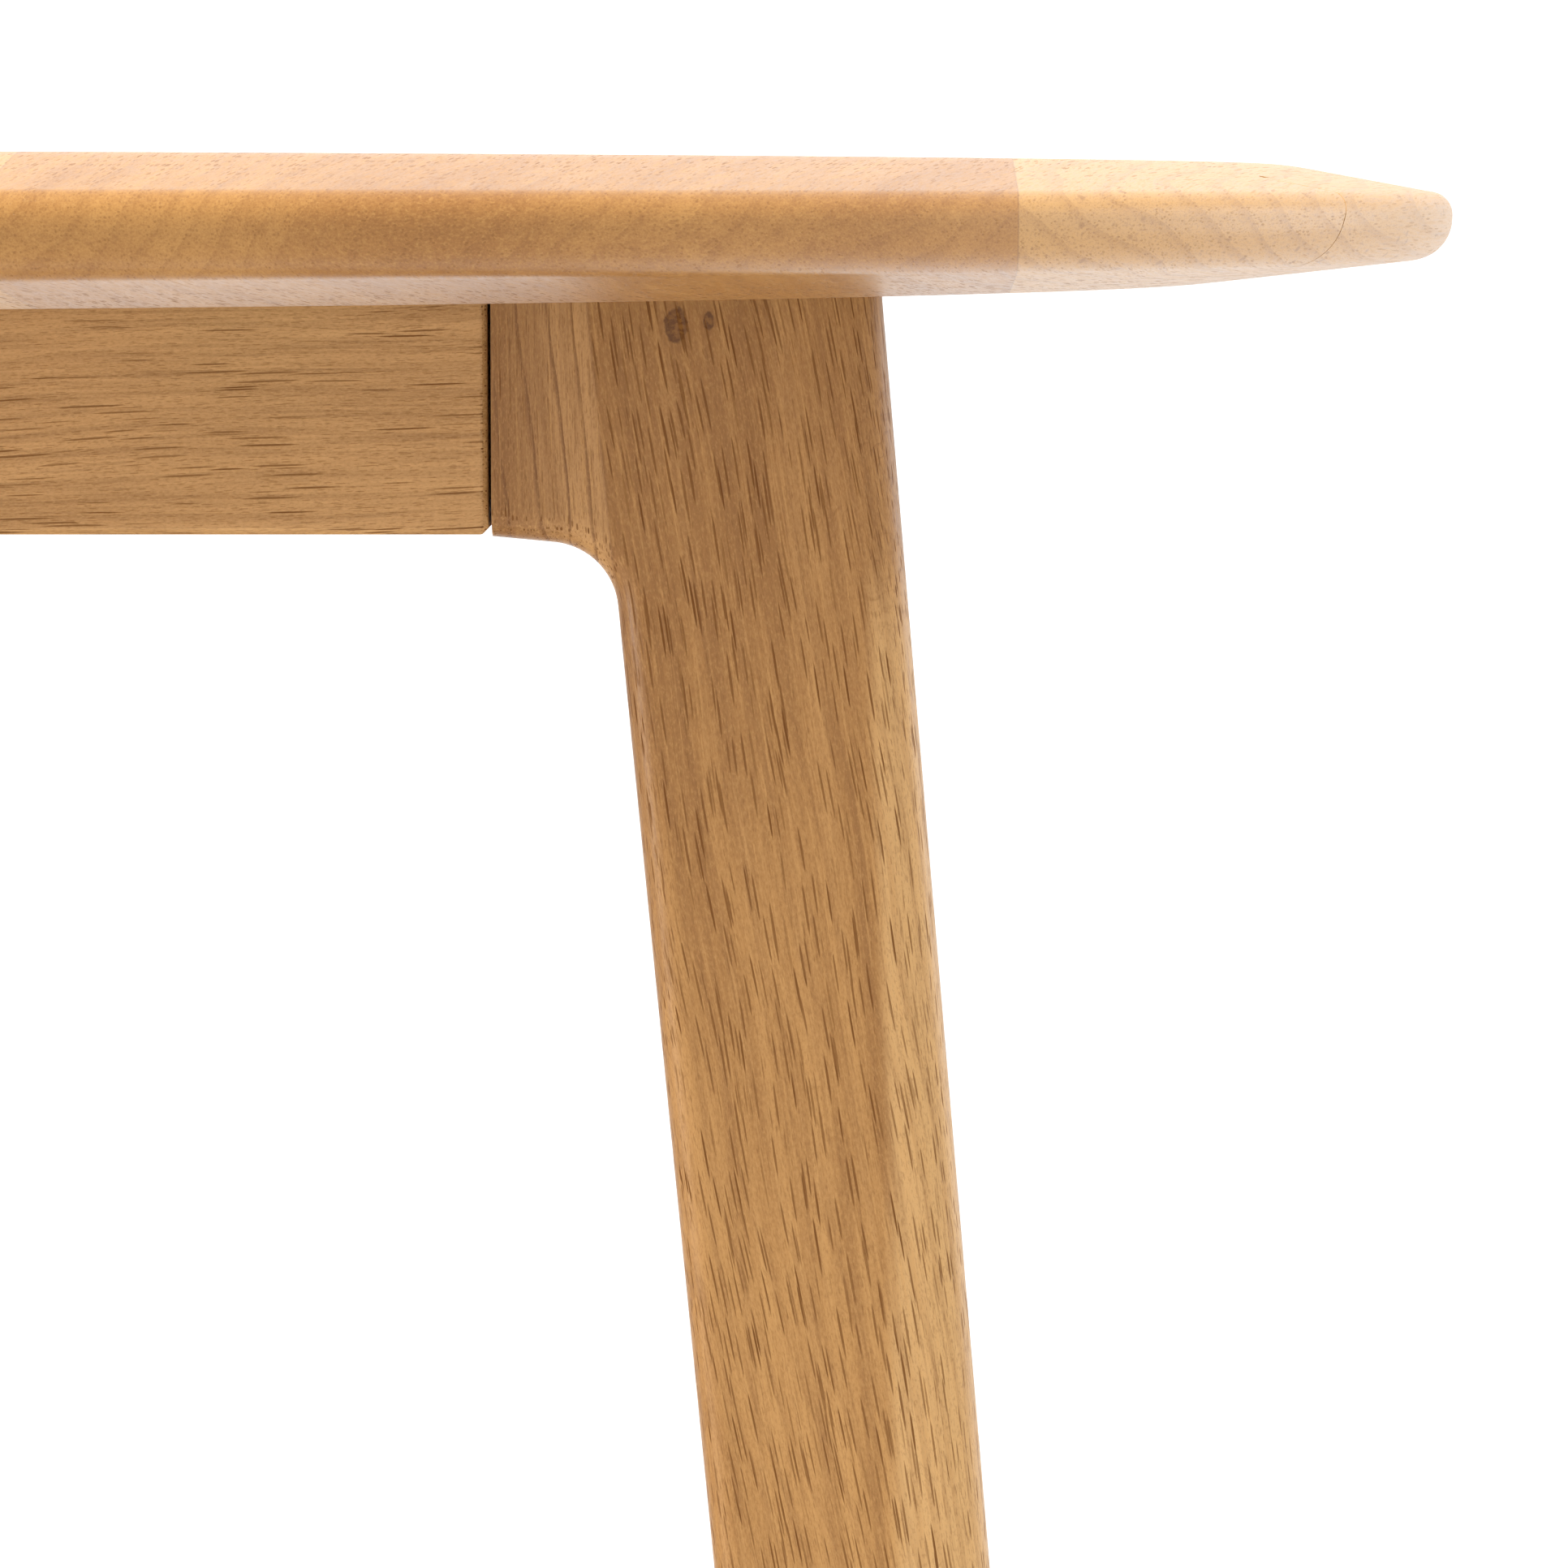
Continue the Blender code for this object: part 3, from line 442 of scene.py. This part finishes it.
def leg_boards(side, seed, inner_x):
    """A leg's main board, with its grain along the leg, and its shoulder stave, with upright grain."""

    def where_of(shading):
        lean = (-side * math.sin(LEG_LEAN), 0.0, math.cos(LEG_LEAN))
        main = board_point(shading, lean, (1, 0, 0), seed)
        stave = board_point(shading, (-side * 0.02, 0.0, 1.0), (1, 0, 0), seed + 100)
        mask, _ = shoulder_mask(shading, side, inner_x)
        node = shading.tree.nodes.new("ShaderNodeMix")
        node.data_type = "VECTOR"
        shading.feed(node.inputs[0], mask)
        shading.feed(node.inputs[4], main)
        shading.feed(node.inputs[5], stave)
        return node.outputs[1]

    return where_of


def leg_features_and_shade(side, inner_x, sapwood_x):
    """Paints a leg's shoulder stave, its outer edge's sapwood, its banded and curled figure, and painted shade
    under the top.
    """

    def paint(shading, colour, where):
        point = shading.object_point()
        mask, past = shoulder_mask(shading, side, inner_x)
        lighter = shading.blend(shading.spread(past, -0.030, -0.002), TONES["leg"][0], TONES["rail"][2])
        colour = shading.blend(shading.math("MULTIPLY", mask, 0.80), colour, lighter)
        drift = shading.noise(stretched(shading, where, 90.0, 14.0), detail=2.0)
        drifted = shading.math("MULTIPLY_ADD", drift, 0.007, past)
        lines = shading.math("FRACT", shading.math("DIVIDE", drifted, 0.0062))
        lines = shading.math("MULTIPLY", shading.spread(lines, 0.80, 0.95, 0.0, 0.90), mask)
        colour = shading.blend(lines, colour, PORE)
        height = shading.vector("DOT_PRODUCT", point, (0.0, 0.0, 1.0), output=1)
        line = shading.spread(shading.math("ABSOLUTE", past), 0.0006, 0.0001, 0.0, 0.5)
        line = shading.math("MULTIPLY", line, shading.spread(height, 0.635, 0.650))
        colour = shading.blend(line, colour, GLUE_LINE)
        # painted shade: the leg darkens towards its top, where the table top shades it
        colour = shading.blend(shading.spread(height, 0.54, 0.70, 0.0, 0.42), colour, TONES["leg"][0])

        wobble = shading.noise(stretched(shading, where, 60.0, 7.0), detail=3.0)
        x = shading.vector("DOT_PRODUCT", point, (side, 0.0, 0.028), output=1)
        x = shading.math("MULTIPLY_ADD", wobble, 0.006, x)
        sap = shading.spread(x, sapwood_x, sapwood_x + 0.0045)
        sap = shading.math("MULTIPLY", sap, shading.spread(height, 0.655, 0.625))
        colour = shading.blend(shading.math("MULTIPLY", sap, 0.80), colour, TONES["sapwood"][1])
        over, up = shading.math("MULTIPLY", past, 190.0), shading.math("MULTIPLY", height, 2.5)
        band = shading.noise(shading.combine(over, 0.0, up), detail=3.0, roughness=0.55)
        colour = shading.blend(shading.spread(band, 0.50, 0.70, 0.0, 0.34), colour, TONES["leg"][2])
        colour = shading.blend(shading.spread(band, 0.50, 0.30, 0.0, 0.34), colour, TONES["leg"][0])
        return curl(shading, colour, point, (side * 0.404, 0.0, 0.664))

    return paint


def curl(shading, colour, point, centre):
    """Fine rings round a place where a branch once was, fading out."""
    offset = shading.vector("MULTIPLY", shading.vector("SUBTRACT", point, centre), (1.0, 0.0, 0.62))
    distance = shading.vector("LENGTH", offset, output=1)
    rough = shading.noise(point, 70.0, 4.0, 0.65)
    wavy = shading.math("MULTIPLY_ADD", rough, 0.014, distance)
    phase = shading.math("FRACT", shading.math("DIVIDE", wavy, 0.0026))
    ring = shading.math("MULTIPLY", shading.spread(phase, 0.62, 0.95), shading.spread(distance, 0.026, 0.010))
    broken = shading.spread(shading.noise(point, 210.0, 2.0), 0.42, 0.62)
    ring = shading.math("MULTIPLY", ring, broken)
    return shading.blend(shading.math("MULTIPLY", ring, 0.55), colour, TONES["leg"][0])


def knot(shading, colour, point, centre, size):
    """A small round knot: a mottled brown eye with a darker rim, and a shadow round it."""
    ragged = shading.noise(point, 420.0, 3.0, 0.6)
    mottled = shading.noise(point, 900.0, 3.0, 0.6)
    offset = shading.vector("SUBTRACT", point, centre)
    distance = shading.vector("LENGTH", shading.vector("DIVIDE", offset, size), output=1)
    distance = shading.math("MULTIPLY_ADD", ragged, 0.7, distance)
    colour = shading.blend(shading.spread(distance, 2.2, 1.1, 0.0, 0.40), colour, TONES["leg"][0])
    eye = shading.blend(shading.spread(mottled, 0.40, 0.62), KNOT, linear(124, 82, 36))
    eye = shading.blend(shading.spread(distance, 0.80, 1.15, 0.0, 0.60), eye, KNOT)
    return shading.blend(shading.spread(distance, 1.35, 1.12, 0.0, 0.85), colour, eye)


# Metal and nylon


def metal(name, colour, dull, roughness):
    """Metal with a drawn or plated surface, dulled in patches by handling."""
    shading = Shading(name)
    point = shading.object_point()
    drawn = shading.noise(shading.vector("MULTIPLY", point, (3000.0, 260.0, 3000.0)), detail=2.0)
    patches = shading.noise(point, 420.0, 4.0, 0.6)
    worn = shading.spread(patches, 0.35, 0.75, 0.0, 0.7)
    shading.feed(shading.shader.inputs["Base Color"], shading.blend(worn, colour, dull))
    satin = shading.math("MULTIPLY_ADD", worn, 0.16, roughness)
    shading.feed(shading.shader.inputs["Roughness"], shading.math("MULTIPLY_ADD", drawn, 0.12, satin))
    shading.shader.inputs["Metallic"].default_value = 1.0
    shading.feed(shading.shader.inputs["Normal"], shading.bump(drawn, 0.00002, 0.5))
    return shading.material


def nylon(name):
    """Dark moulded nylon with a fine spark-eroded grain."""
    shading = Shading(name)
    point = shading.object_point()
    grain = shading.noise(point, 2600.0, 3.0, 0.6)
    cloud = shading.noise(point, 120.0, 2.0)
    base = shading.blend(cloud, linear(58, 44, 34), linear(80, 62, 48))
    shading.feed(shading.shader.inputs["Base Color"], base)
    shading.feed(shading.shader.inputs["Roughness"], shading.spread(grain, 0.3, 0.7, 0.48, 0.66))
    shading.feed(shading.shader.inputs["Normal"], shading.bump(grain, 0.00004, 0.6))
    return shading.material


def soften(piece, width):
    """Eases a CAD node's edges with modifiers, and shades it smooth. Its own vertices stay as they are."""
    normals = piece.data.attributes.get("custom_normal")
    if normals is not None:
        piece.data.attributes.remove(normals)
    piece.data.shade_smooth()
    weld = piece.modifiers.new("weld", "WELD")
    weld.merge_threshold = 0.00001
    ease = piece.modifiers.new("ease", "BEVEL")
    ease.width = width
    ease.segments = 3
    ease.limit_method = "ANGLE"
    ease.angle_limit = math.radians(25)
    ease.harden_normals = True


# The top


def rim_section():
    """The turned section from the middle of the top face round the rim to the middle of the underside."""
    thickness = TOP_Z - UNDERSIDE
    upper_in, upper_slope = UPPER_BEVEL
    lower_in, lower_slope = LOWER_BEVEL
    upper_edge = (0.0, thickness - upper_in * math.tan(upper_slope))
    lower_edge = (0.0, lower_in * math.tan(lower_slope))
    corners = [
        ((upper_in, thickness), CREASE_RADIUS, 6),
        (upper_edge, UPPER_NOSE_RADIUS, 10),
        (lower_edge, LOWER_NOSE_RADIUS, 10),
        ((lower_in, 0.0), CREASE_RADIUS, 6),
    ]
    line = [(0.3, thickness)] + [corner for corner, _, _ in corners] + [(0.3, 0.0)]
    points = [(0.0, TOP_Z)]
    for i, (corner, radius, steps) in enumerate(corners):
        rounded = fillet(line[i], corner, line[i + 2], radius, steps)
        points += [(TOP_RADIUS - inset, UNDERSIDE + height) for inset, height in rounded]
    return points + [(0.0, UNDERSIDE)]


def turned_disc():
    bm = bmesh.new()
    points = [bm.verts.new((radius, 0.0, z)) for radius, z in rim_section()]
    edges = [bm.edges.new(pair) for pair in zip(points, points[1:])]
    bmesh.ops.spin(
        bm, geom=points + edges, axis=(0, 0, 1), cent=(0, 0, 0), steps=RIM_STEPS, angle=math.tau
    )
    bmesh.ops.remove_doubles(bm, verts=bm.verts, dist=DISC_MERGE)
    bmesh.ops.recalc_face_normals(bm, faces=bm.faces)
    return mesh_from("turned_disc", bm)


def rule_arc(radius):
    return arc((-JOINT_LINE, PIN_Z), radius, 90, 180, 24)


def across_table(y, z, x):
    return (x, y, z)


def panel_section():
    above, below = TOP_Z + BEYOND, UNDERSIDE - BEYOND
    front = [(-JOINT_LINE, above)] + rule_arc(RULE_RADIUS) + [(-JOINT_LINE - RULE_RADIUS, below)]
    return front + [(-y, z) for y, z in reversed(front)]


def leaf_section(side):
    """A leaf's section at the front for side 1, or at the back for side -1."""
    above, below, outside = TOP_Z + BEYOND, UNDERSIDE - BEYOND, -TOP_RADIUS - BEYOND
    cove = rule_arc(RULE_RADIUS + RULE_CLEARANCE)
    inner = [(-JOINT_LINE - SEAM, above), (-JOINT_LINE - SEAM, cove[0][1])] + cove[1:]
    foot = -JOINT_LINE - RULE_RADIUS - RULE_CLEARANCE - SEAM
    outline = inner + [(foot, below), (outside, below), (outside, above)]
    return [(side * y, z) for y, z in outline]


def hinge_room(name):
    """The recesses that let one hinge lie flush in the underside."""
    room = Vector((SEAM, SEAM, SEAM))
    meshes = []
    for flap in ("fixed_flap", "leaf_flap"):
        low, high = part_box(f"hinge_{name}_{flap}")
        bottom = Vector((low[0], low[1], UNDERSIDE - OPEN_BELOW))
        plate_top = Vector((high[0], high[1], low[2] + HINGE_PLATE))
        meshes.append(box_mesh(bottom - room, plate_top + room))
    pin_low, pin_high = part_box(f"hinge_{name}_pin")
    middle_y = (pin_low[1] + pin_high[1]) / 2
    low = (pin_low[0] - PIN_ROOM.x, middle_y - PIN_ROOM.y, UNDERSIDE - OPEN_BELOW)
    high = (pin_high[0] + PIN_ROOM.x, middle_y + PIN_ROOM.y, PIN_Z + PIN_ROOM.z)
    meshes.append(box_mesh(low, high))
    return meshes


def top_piece(node, section, material, hinges):
    piece = add_piece(node + "_oak", disc.copy())
    reach = TOP_RADIUS + BEYOND
    boolean(piece, mesh_from("section", prism(section, -reach, reach, across_table)), "INTERSECT")
    for hinge in hinges:
        for room in hinge_room(hinge):
            boolean(piece, room, "DIFFERENCE")
    smooth(piece.data, 25)
    finish_piece(piece, node, material)


def finish_piece(piece, node, material):
    """Gives a rebuilt piece its material and its body, and hides the CAD node that it stands for."""
    piece.data.materials.clear()
    piece.data.materials.append(material)
    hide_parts(node)
    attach(piece, body_of[node])


# The legs


def edge_x(foot_x, splay, z):
    return foot_x - splay * z


def leg_outline():
    """A frame leg with its shoulder, seen from the front at the right."""
    low, high = LEG_LOW[2], LEG_HIGH[2]
    rise = INNER_FOOT_X - INNER_SPLAY * (SHOULDER_Z - SHOULDER_SLOPE * SHOULDER_X)
    corner_x = rise / (1 + INNER_SPLAY * SHOULDER_SLOPE)
    corner = (corner_x, SHOULDER_Z + SHOULDER_SLOPE * (corner_x - SHOULDER_X))
    foot = (edge_x(INNER_FOOT_X, INNER_SPLAY, low), low)
    shoulder = (SHOULDER_X, SHOULDER_Z)
    outline = [foot, (edge_x(OUTER_FOOT_X, OUTER_SPLAY, low), low)]
    outline += [(edge_x(OUTER_FOOT_X, OUTER_SPLAY, high), high), (SHOULDER_X, high), shoulder]
    return outline + fillet(shoulder, corner, foot, SHOULDER_FILLET, 18)


def gate_leg_outline():
    """A front gate's leg, folded, with no shoulder."""
    outline = []
    for z, edges in ((GATE_LOW[2], (0, 1)), (GATE_HIGH[2], (1, 0))):
        sides = ((GATE_FOOT_INNER, INNER_SPLAY), (GATE_FOOT_OUTER, OUTER_SPLAY))
        outline += [(edge_x(*sides[edge], z), z) for edge in edges]
    return outline


def round_along(bm, radius, wanted):
    """Rounds the edges of the front and back faces whose two ends are wanted points of the outline."""
    edges = [
        edge
        for edge in bm.edges
        if abs(edge.verts[0].co.y - edge.verts[1].co.y) < 1e-6
        and all(wanted(vert.co.x, vert.co.z) for vert in edge.verts)
    ]
    bmesh.ops.bevel(
        bm, geom=edges, offset=radius, offset_type="OFFSET", segments=8, profile=0.5, affect="EDGES"
    )


def shaped_leg(outline, low_y, high_y, outer_foot, inner_foot, corner_top):
    bm = prism(outline, low_y, high_y, lambda x, z, y: (x, y, z))
    round_along(bm, OUTER_ROUND, lambda x, z: abs(x - edge_x(outer_foot, OUTER_SPLAY, z)) < 1e-4)

    def inner_path(x, z):
        return z < corner_top and x < edge_x(inner_foot, INNER_SPLAY, z) + 1e-4

    round_along(bm, INNER_ROUND, inner_path)
    return bm


def turn_about(bm, matrix):
    bmesh.ops.transform(bm, matrix=matrix, verts=bm.verts)
    if matrix.determinant() < 0:
        bmesh.ops.reverse_faces(bm, faces=bm.faces)


def rebuild_leg(node, matrix, material, gate=False):
    """A leg built at the front right, or as the front gate's, then turned or mirrored into its place."""
    low, high = (GATE_LOW, GATE_HIGH) if gate else (LEG_LOW, LEG_HIGH)
    feet = (GATE_FOOT_OUTER, GATE_FOOT_INNER) if gate else (OUTER_FOOT_X, INNER_FOOT_X)
    outline = gate_leg_outline() if gate else leg_outline()
    top = 1.0 if gate else SHOULDER_Z + 1e-4
    bm = shaped_leg(outline, low[1], high[1], *feet, top)
    piece = add_piece(node + "_oak", mesh_from(node + "_oak", bm))
    foot_x = (edge_x(feet[0], OUTER_SPLAY, low[2]) + edge_x(feet[1], INNER_SPLAY, low[2])) / 2
    bore = rod_mesh(FOOT_BORE[0], -BEYOND, FOOT_BORE[1], foot_x, (low[1] + high[1]) / 2)
    boolean(piece, bore, "DIFFERENCE")
    if gate:
        for z_low, z_high, lap_y in gate_laps():
            room_low = (low[0] - BEYOND, lap_y, z_low)
            room = box_mesh(room_low, (high[0] + BEYOND, high[1] + BEYOND, z_high))
            boolean(piece, room, "DIFFERENCE")
    placed = bmesh.new()
    placed.from_mesh(piece.data)
    turn_about(placed, matrix)
    placed.to_mesh(piece.data)
    placed.free()
    smooth(piece.data, 35)
    finish_piece(piece, node, material)


def gate_laps():
    """The two laps in the back of a gate's leg: over the apron, and over the stretcher."""
    stretcher_low, stretcher_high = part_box("stretcher_front")
    front = GATE_LOW[1]
    return (
        (APRON_LAP_Z, GATE_HIGH[2] + BEYOND, front + APRON_LAP_WALL),
        (
            stretcher_low[2] - STRETCHER_LAP_GAP,
            stretcher_high[2] + STRETCHER_LAP_GAP,
            front + STRETCHER_LAP_WALL,
        ),
    )


# Screws


def screw_head(bm, place, radius):
    """A raised head: it tapers below, and its rounded face is at its place's origin, looking along +Z."""
    profile = [(0.72, -0.0016), (1.0, -0.0007), (1.0, -0.0003), (0.93, -0.0001), (0.78, 0.0)]
    rings = []
    for share, z in profile:
        around = [math.tau * step / HEAD_STEPS for step in range(HEAD_STEPS)]
        ring = [(share * radius * math.cos(angle), share * radius * math.sin(angle), z) for angle in around]
        rings.append([bm.verts.new(place @ Vector(point)) for point in ring])
    bm.faces.new(rings[0][::-1])
    bm.faces.new(rings[-1])
    for below, above in zip(rings, rings[1:]):
        for i in range(HEAD_STEPS):
            following = (i + 1) % HEAD_STEPS
            bm.faces.new((below[i], below[following], above[following], above[i]))


def cross_recess(bm, place, radius):
    """A cross-shaped cutter, one solid with no overlap, that reaches a little above the head's face."""
    wide, thin = radius * 0.58, radius * 0.11
    quarter = [(wide, -thin), (wide, thin), (thin, thin)]
    turns = [Matrix.Rotation(turn * math.pi / 2, 2) for turn in range(4)]
    outline = [turn @ Vector(point) for turn in turns for point in quarter]
    rings = [[bm.verts.new(place @ Vector((*point, z))) for point in outline] for z in (-RECESS_DEPTH, 0.001)]
    bm.faces.new(rings[0][::-1])
    bm.faces.new(rings[1])
    for i in range(len(outline)):
        following = (i + 1) % len(outline)
        bm.faces.new((rings[0][i], rings[0][following], rings[1][following], rings[1][i]))


def screws(name, places, radius, body, slot):
    """All the screw heads of one piece, as one object that rides with it."""
    bm = bmesh.new()
    for place in places:
        screw_head(bm, place, radius)
    piece = add_piece(name, mesh_from(name, bm))
    cutter = bmesh.new()
    for place in places:
        cross_recess(cutter, place, radius)
    boolean(piece, mesh_from("recess", cutter), "DIFFERENCE")
    smooth(piece.data, 35)
    piece.data.materials.clear()
    piece.data.materials.append(FITTINGS[slot])
    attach(piece, body)


def facing(point, normal):
    turn = Vector(normal).to_track_quat("Z", "Y").to_matrix().to_4x4()
    return Matrix.Translation(Vector(point) + Vector(normal) * SCREW_PROUD) @ turn


def hinge_screws(name, flap, body):
    low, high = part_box(f"hinge_{name}_{flap}")
    away = math.copysign(1.0, (low[1] + high[1]) / 2 - math.copysign(JOINT_LINE, low[1]))
    far = high[1] if away > 0 else low[1]
    middle_x = (low[0] + high[0]) / 2
    spots = [(middle_x - 0.012, far - away * 0.007), (middle_x + 0.012, far - away * 0.007)]
    spots.append((middle_x, far - away * 0.017))
    places = [facing((x, y, low[2] - 0.0001), (0, 0, -1)) for x, y in spots]
    screws(f"hinge_{name}_{flap}_screws", places, HINGE_SCREW, body, "antique_brass")


def bracket_screws(name):
    low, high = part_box(f"top_bracket_{name}")
    middle_x = (low[0] + high[0]) / 2
    inward = -math.copysign(1.0, low[1])
    wall_y = (high[1] if low[1] > 0 else low[1]) + inward * 0.0022
    up = (middle_x, wall_y + inward * 0.016, high[2] - 0.0022)
    side = (middle_x, wall_y, low[2] + 0.010)
    places = [facing(up, (0, 0, -1)), facing(side, (0, inward, 0))]
    screws(f"top_bracket_{name}_screws", places, BRACKET_SCREW, "frame", "zinc_steel")


def stop_screws(side):
    low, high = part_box(f"leaf_{side}_stop")
    middle_x = (low[0] + high[0]) / 2
    spots = [low[1] + 0.012, high[1] - 0.012]
    places = [facing((middle_x, y, low[2] - 0.0001), (0, 0, -1)) for y in spots]
    screws(f"leaf_{side}_stop_screws", places, STOP_SCREW, f"leaf_{side}", "antique_brass")


def block_screws(name):
    low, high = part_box(f"corner_block_{name}")
    end, side = math.copysign(1.0, low[0]), math.copysign(1.0, low[1])
    slope = Vector((-end, -side, 0.0)).normalized()
    middle = Vector(((low[0] + high[0]) / 2, (low[1] + high[1]) / 2, 0.0))
    face = max(vertex.co.dot(slope) for vertex in nodes[f"corner_block_{name}"].data.vertices)
    middle += slope * (face - middle.dot(slope) + 0.0001)
    places = [facing((middle.x, middle.y, low[2] + rise), slope) for rise in (0.011, 0.027)]
    screws(f"corner_block_{name}_screws", places, BLOCK_SCREW, "frame", "zinc_steel")


# Stage, light and camera


def stage():
    """A wide pale floor under an even white studio."""
    bm = bmesh.new()
    bmesh.ops.create_circle(bm, cap_ends=True, segments=96, radius=60.0)
    floor = add_piece("studio_floor", mesh_from("studio_floor", bm))
    shading = Shading("studio_floor")
    speckle = shading.noise(shading.object_point(), 3.0, 2.0)
    white = shading.blend(speckle, (0.96, 0.96, 0.96, 1.0), (0.98, 0.98, 0.98, 1.0))
    shading.feed(shading.shader.inputs["Base Color"], white)
    shading.shader.inputs["Roughness"].default_value = 0.9
    floor.data.materials.append(shading.material)

    world = bpy.data.worlds.new("white_studio")
    bpy.context.scene.world = world
    world.use_nodes = True
    background = world.node_tree.nodes["Background"]
    background.inputs["Color"].default_value = (1.0, 1.0, 1.0, 1.0)
    background.inputs["Strength"].default_value = 1.36


def hang(light, place, target):
    """Puts a light in its place, aimed at a point."""
    lamp = bpy.data.objects.new(light.name, light)
    bpy.context.scene.collection.objects.link(lamp)
    lamp.location = place
    lamp.rotation_euler = (Vector(target) - Vector(place)).to_track_quat("-Z", "Y").to_euler()


def soft_light(name, place, target, size, power):
    data = bpy.data.lights.new(name, "AREA")
    data.shape = "DISK"
    data.size = size
    data.energy = power
    hang(data, place, target)


def spot_on_top(name, place, target, power):
    """A soft spot whose cone is little wider than the top, so that the floor stays evenly lit."""
    data = bpy.data.lights.new(name, "SPOT")
    reach = (Vector(target) - Vector(place)).length
    data.spot_size = 2 * math.atan(TOP_RADIUS * 1.25 / reach)
    data.spot_blend = 0.35
    data.shadow_soft_size = 0.35
    data.energy = power
    hang(data, place, target)


def camera():
    """Level with the top's edge and a little downward, close to the front right corner."""
    data = bpy.data.cameras.new("camera")
    data.sensor_width = 36.0
    data.lens = 138.4
    data.clip_start = 0.05
    data.clip_end = 200.0
    view = bpy.data.objects.new("camera", data)
    bpy.context.scene.collection.objects.link(view)
    view.location = (0.378, -1.588, 0.7308)
    view.rotation_euler = (math.radians(84.47), 0.0, 0.0)
    bpy.context.scene.camera = view


# Assembly

body_of = {node: body for body, held in frame["record"]["behaviour"]["bodies"].items() for node in held}
slot_of = {part["node"]: part["material_slot"] for part in frame["record"]["subparts"]}
CORNERS = [f"{side}_{end}" for side in ("front", "back") for end in ("left", "right")]

FITTINGS = {
    # the material of each slot that isn't wood
    "antique_brass": metal("antique_brass", linear(172, 142, 92), linear(132, 104, 64), 0.30),
    "zinc_steel": metal("zinc_steel", linear(196, 197, 196), linear(150, 150, 148), 0.26),
    "brown_nylon": nylon("brown_nylon"),
}

disc = turned_disc()
TOP_TURN = math.radians(11)  # of the top's grain, away from front to back
GRAIN_OF_TOP = (math.sin(TOP_TURN), math.cos(TOP_TURN), 0.0)
JOINTS_OF_TOP = {"edge": 0.433, "width": 0.190, "tilt": -0.02}
TOP_SEED = 11  # one for its three pieces, so that the staves run on over the rule joints
for node, section, hinges in (
    ("centre_panel", panel_section(), CORNERS),
    ("leaf_front", leaf_section(1), CORNERS[:2]),
    ("leaf_back", leaf_section(-1), CORNERS[2:]),
):
    boards = stave_boards(GRAIN_OF_TOP, TOP_SEED, **JOINTS_OF_TOP)
    tones = staves(**JOINTS_OF_TOP)
    oak_top = oak(f"{node}_oak", "top", boards, TOP_SEED, 0.006, 0.8, paint=tones, coat=0.2)
    top_piece(node, section, oak_top, hinges)

HALF_TURN = Matrix.Rotation(math.pi, 4, "Z")
MIRROR = Matrix.Diagonal((-1.0, 1.0, 1.0, 1.0))
LEG_PLACES = {
    "front_right": Matrix.Identity(4),
    "front_left": MIRROR,
    "back_left": HALF_TURN,
    "back_right": HALF_TURN @ MIRROR,
}
LEG_LEAN = math.radians(10)
SAPWOOD_X = 0.4172  # where the sapwood starts on a leg's outer edge, its lean allowed for
FRONT_KNOTS = (
    ((0.3530, LEG_LOW[1], 0.7020), (0.0030, 0.0060, 0.0045)),
    ((0.3605, LEG_LOW[1], 0.7030), (0.0014, 0.0040, 0.0024)),
)
for seed, (corner, matrix) in enumerate(LEG_PLACES.items()):
    side = 1.0 if corner.endswith("right") else -1.0
    knots = FRONT_KNOTS if corner == "front_right" else ()
    leg_paint_with_shade = leg_features_and_shade(side, INNER_FOOT_X, SAPWOOD_X)
    boards = leg_boards(side, 31 + seed, INNER_FOOT_X)
    leg_oak = oak(f"leg_{corner}_oak", "leg", boards, 31 + seed, 0.005, paint=leg_paint_with_shade, knots=knots)
    rebuild_leg(f"leg_{corner}", matrix, leg_oak)
for seed, (gate, matrix) in enumerate((("front", Matrix.Identity(4)), ("back", HALF_TURN))):
    side = 1.0 if gate == "front" else -1.0
    board = plain_board((-side * math.sin(LEG_LEAN), 0.0, math.cos(LEG_LEAN)), (1, 0, 0), 41 + seed)
    leg_oak = oak(f"gate_{gate}_leg_oak", "leg", board, 41 + seed, 0.005)
    rebuild_leg(f"gate_{gate}_leg", matrix, leg_oak, gate=True)

RAIL_GRAIN = {"apron": (1, 0, 0.03), "stretcher": (1, 0, 0), "post": (0, 0, 1), "rail": (1, 0, 0)}
for seed, node in enumerate(sorted(set(nodes) - {f"leg_{corner}" for corner in CORNERS})):
    piece = nodes[node]
    if slot_of[node] == "oak_rails":
        kind = next((word for word in RAIL_GRAIN if word in node), "rail")
        grain = RAIL_GRAIN[kind]
        if node.endswith(("_left", "_right")) and kind in ("apron", "stretcher"):
            grain = (0, 1, 0.02)
        board = plain_board(grain, (0, 0, 1) if kind != "post" else (1, 0, 0), 61 + seed)
        material = oak(f"{node}_oak", "rail", board, 61 + seed, dash=1.3)
    elif slot_of[node] in FITTINGS:
        material = FITTINGS[slot_of[node]]
    else:
        continue
    for slot in piece.material_slots:
        slot.material = material
    soften(piece, RAIL_EASE if slot_of[node] == "oak_rails" else FITTING_EASE)

for corner in CORNERS:
    hinge_screws(corner, "fixed_flap", "frame")
    hinge_screws(corner, "leaf_flap", "leaf_" + corner.split("_")[0])
    bracket_screws(corner)
    block_screws(corner)
for side in ("front", "back"):
    stop_screws(side)

stage()
spot_on_top("overhead", (-0.2, -1.0, 3.4), (0.0, 0.0, TOP_Z), 780.0)
soft_light("right", (3.2, 1.6, 0.9), (0.4, 0.0, 0.5), 2.0, 16.0)
soft_light("left", (-2.9, -1.0, 0.6), (0.3, -0.1, 0.5), 2.0, 70.0)
camera()
bpy.context.scene.view_settings.view_transform = "Standard"
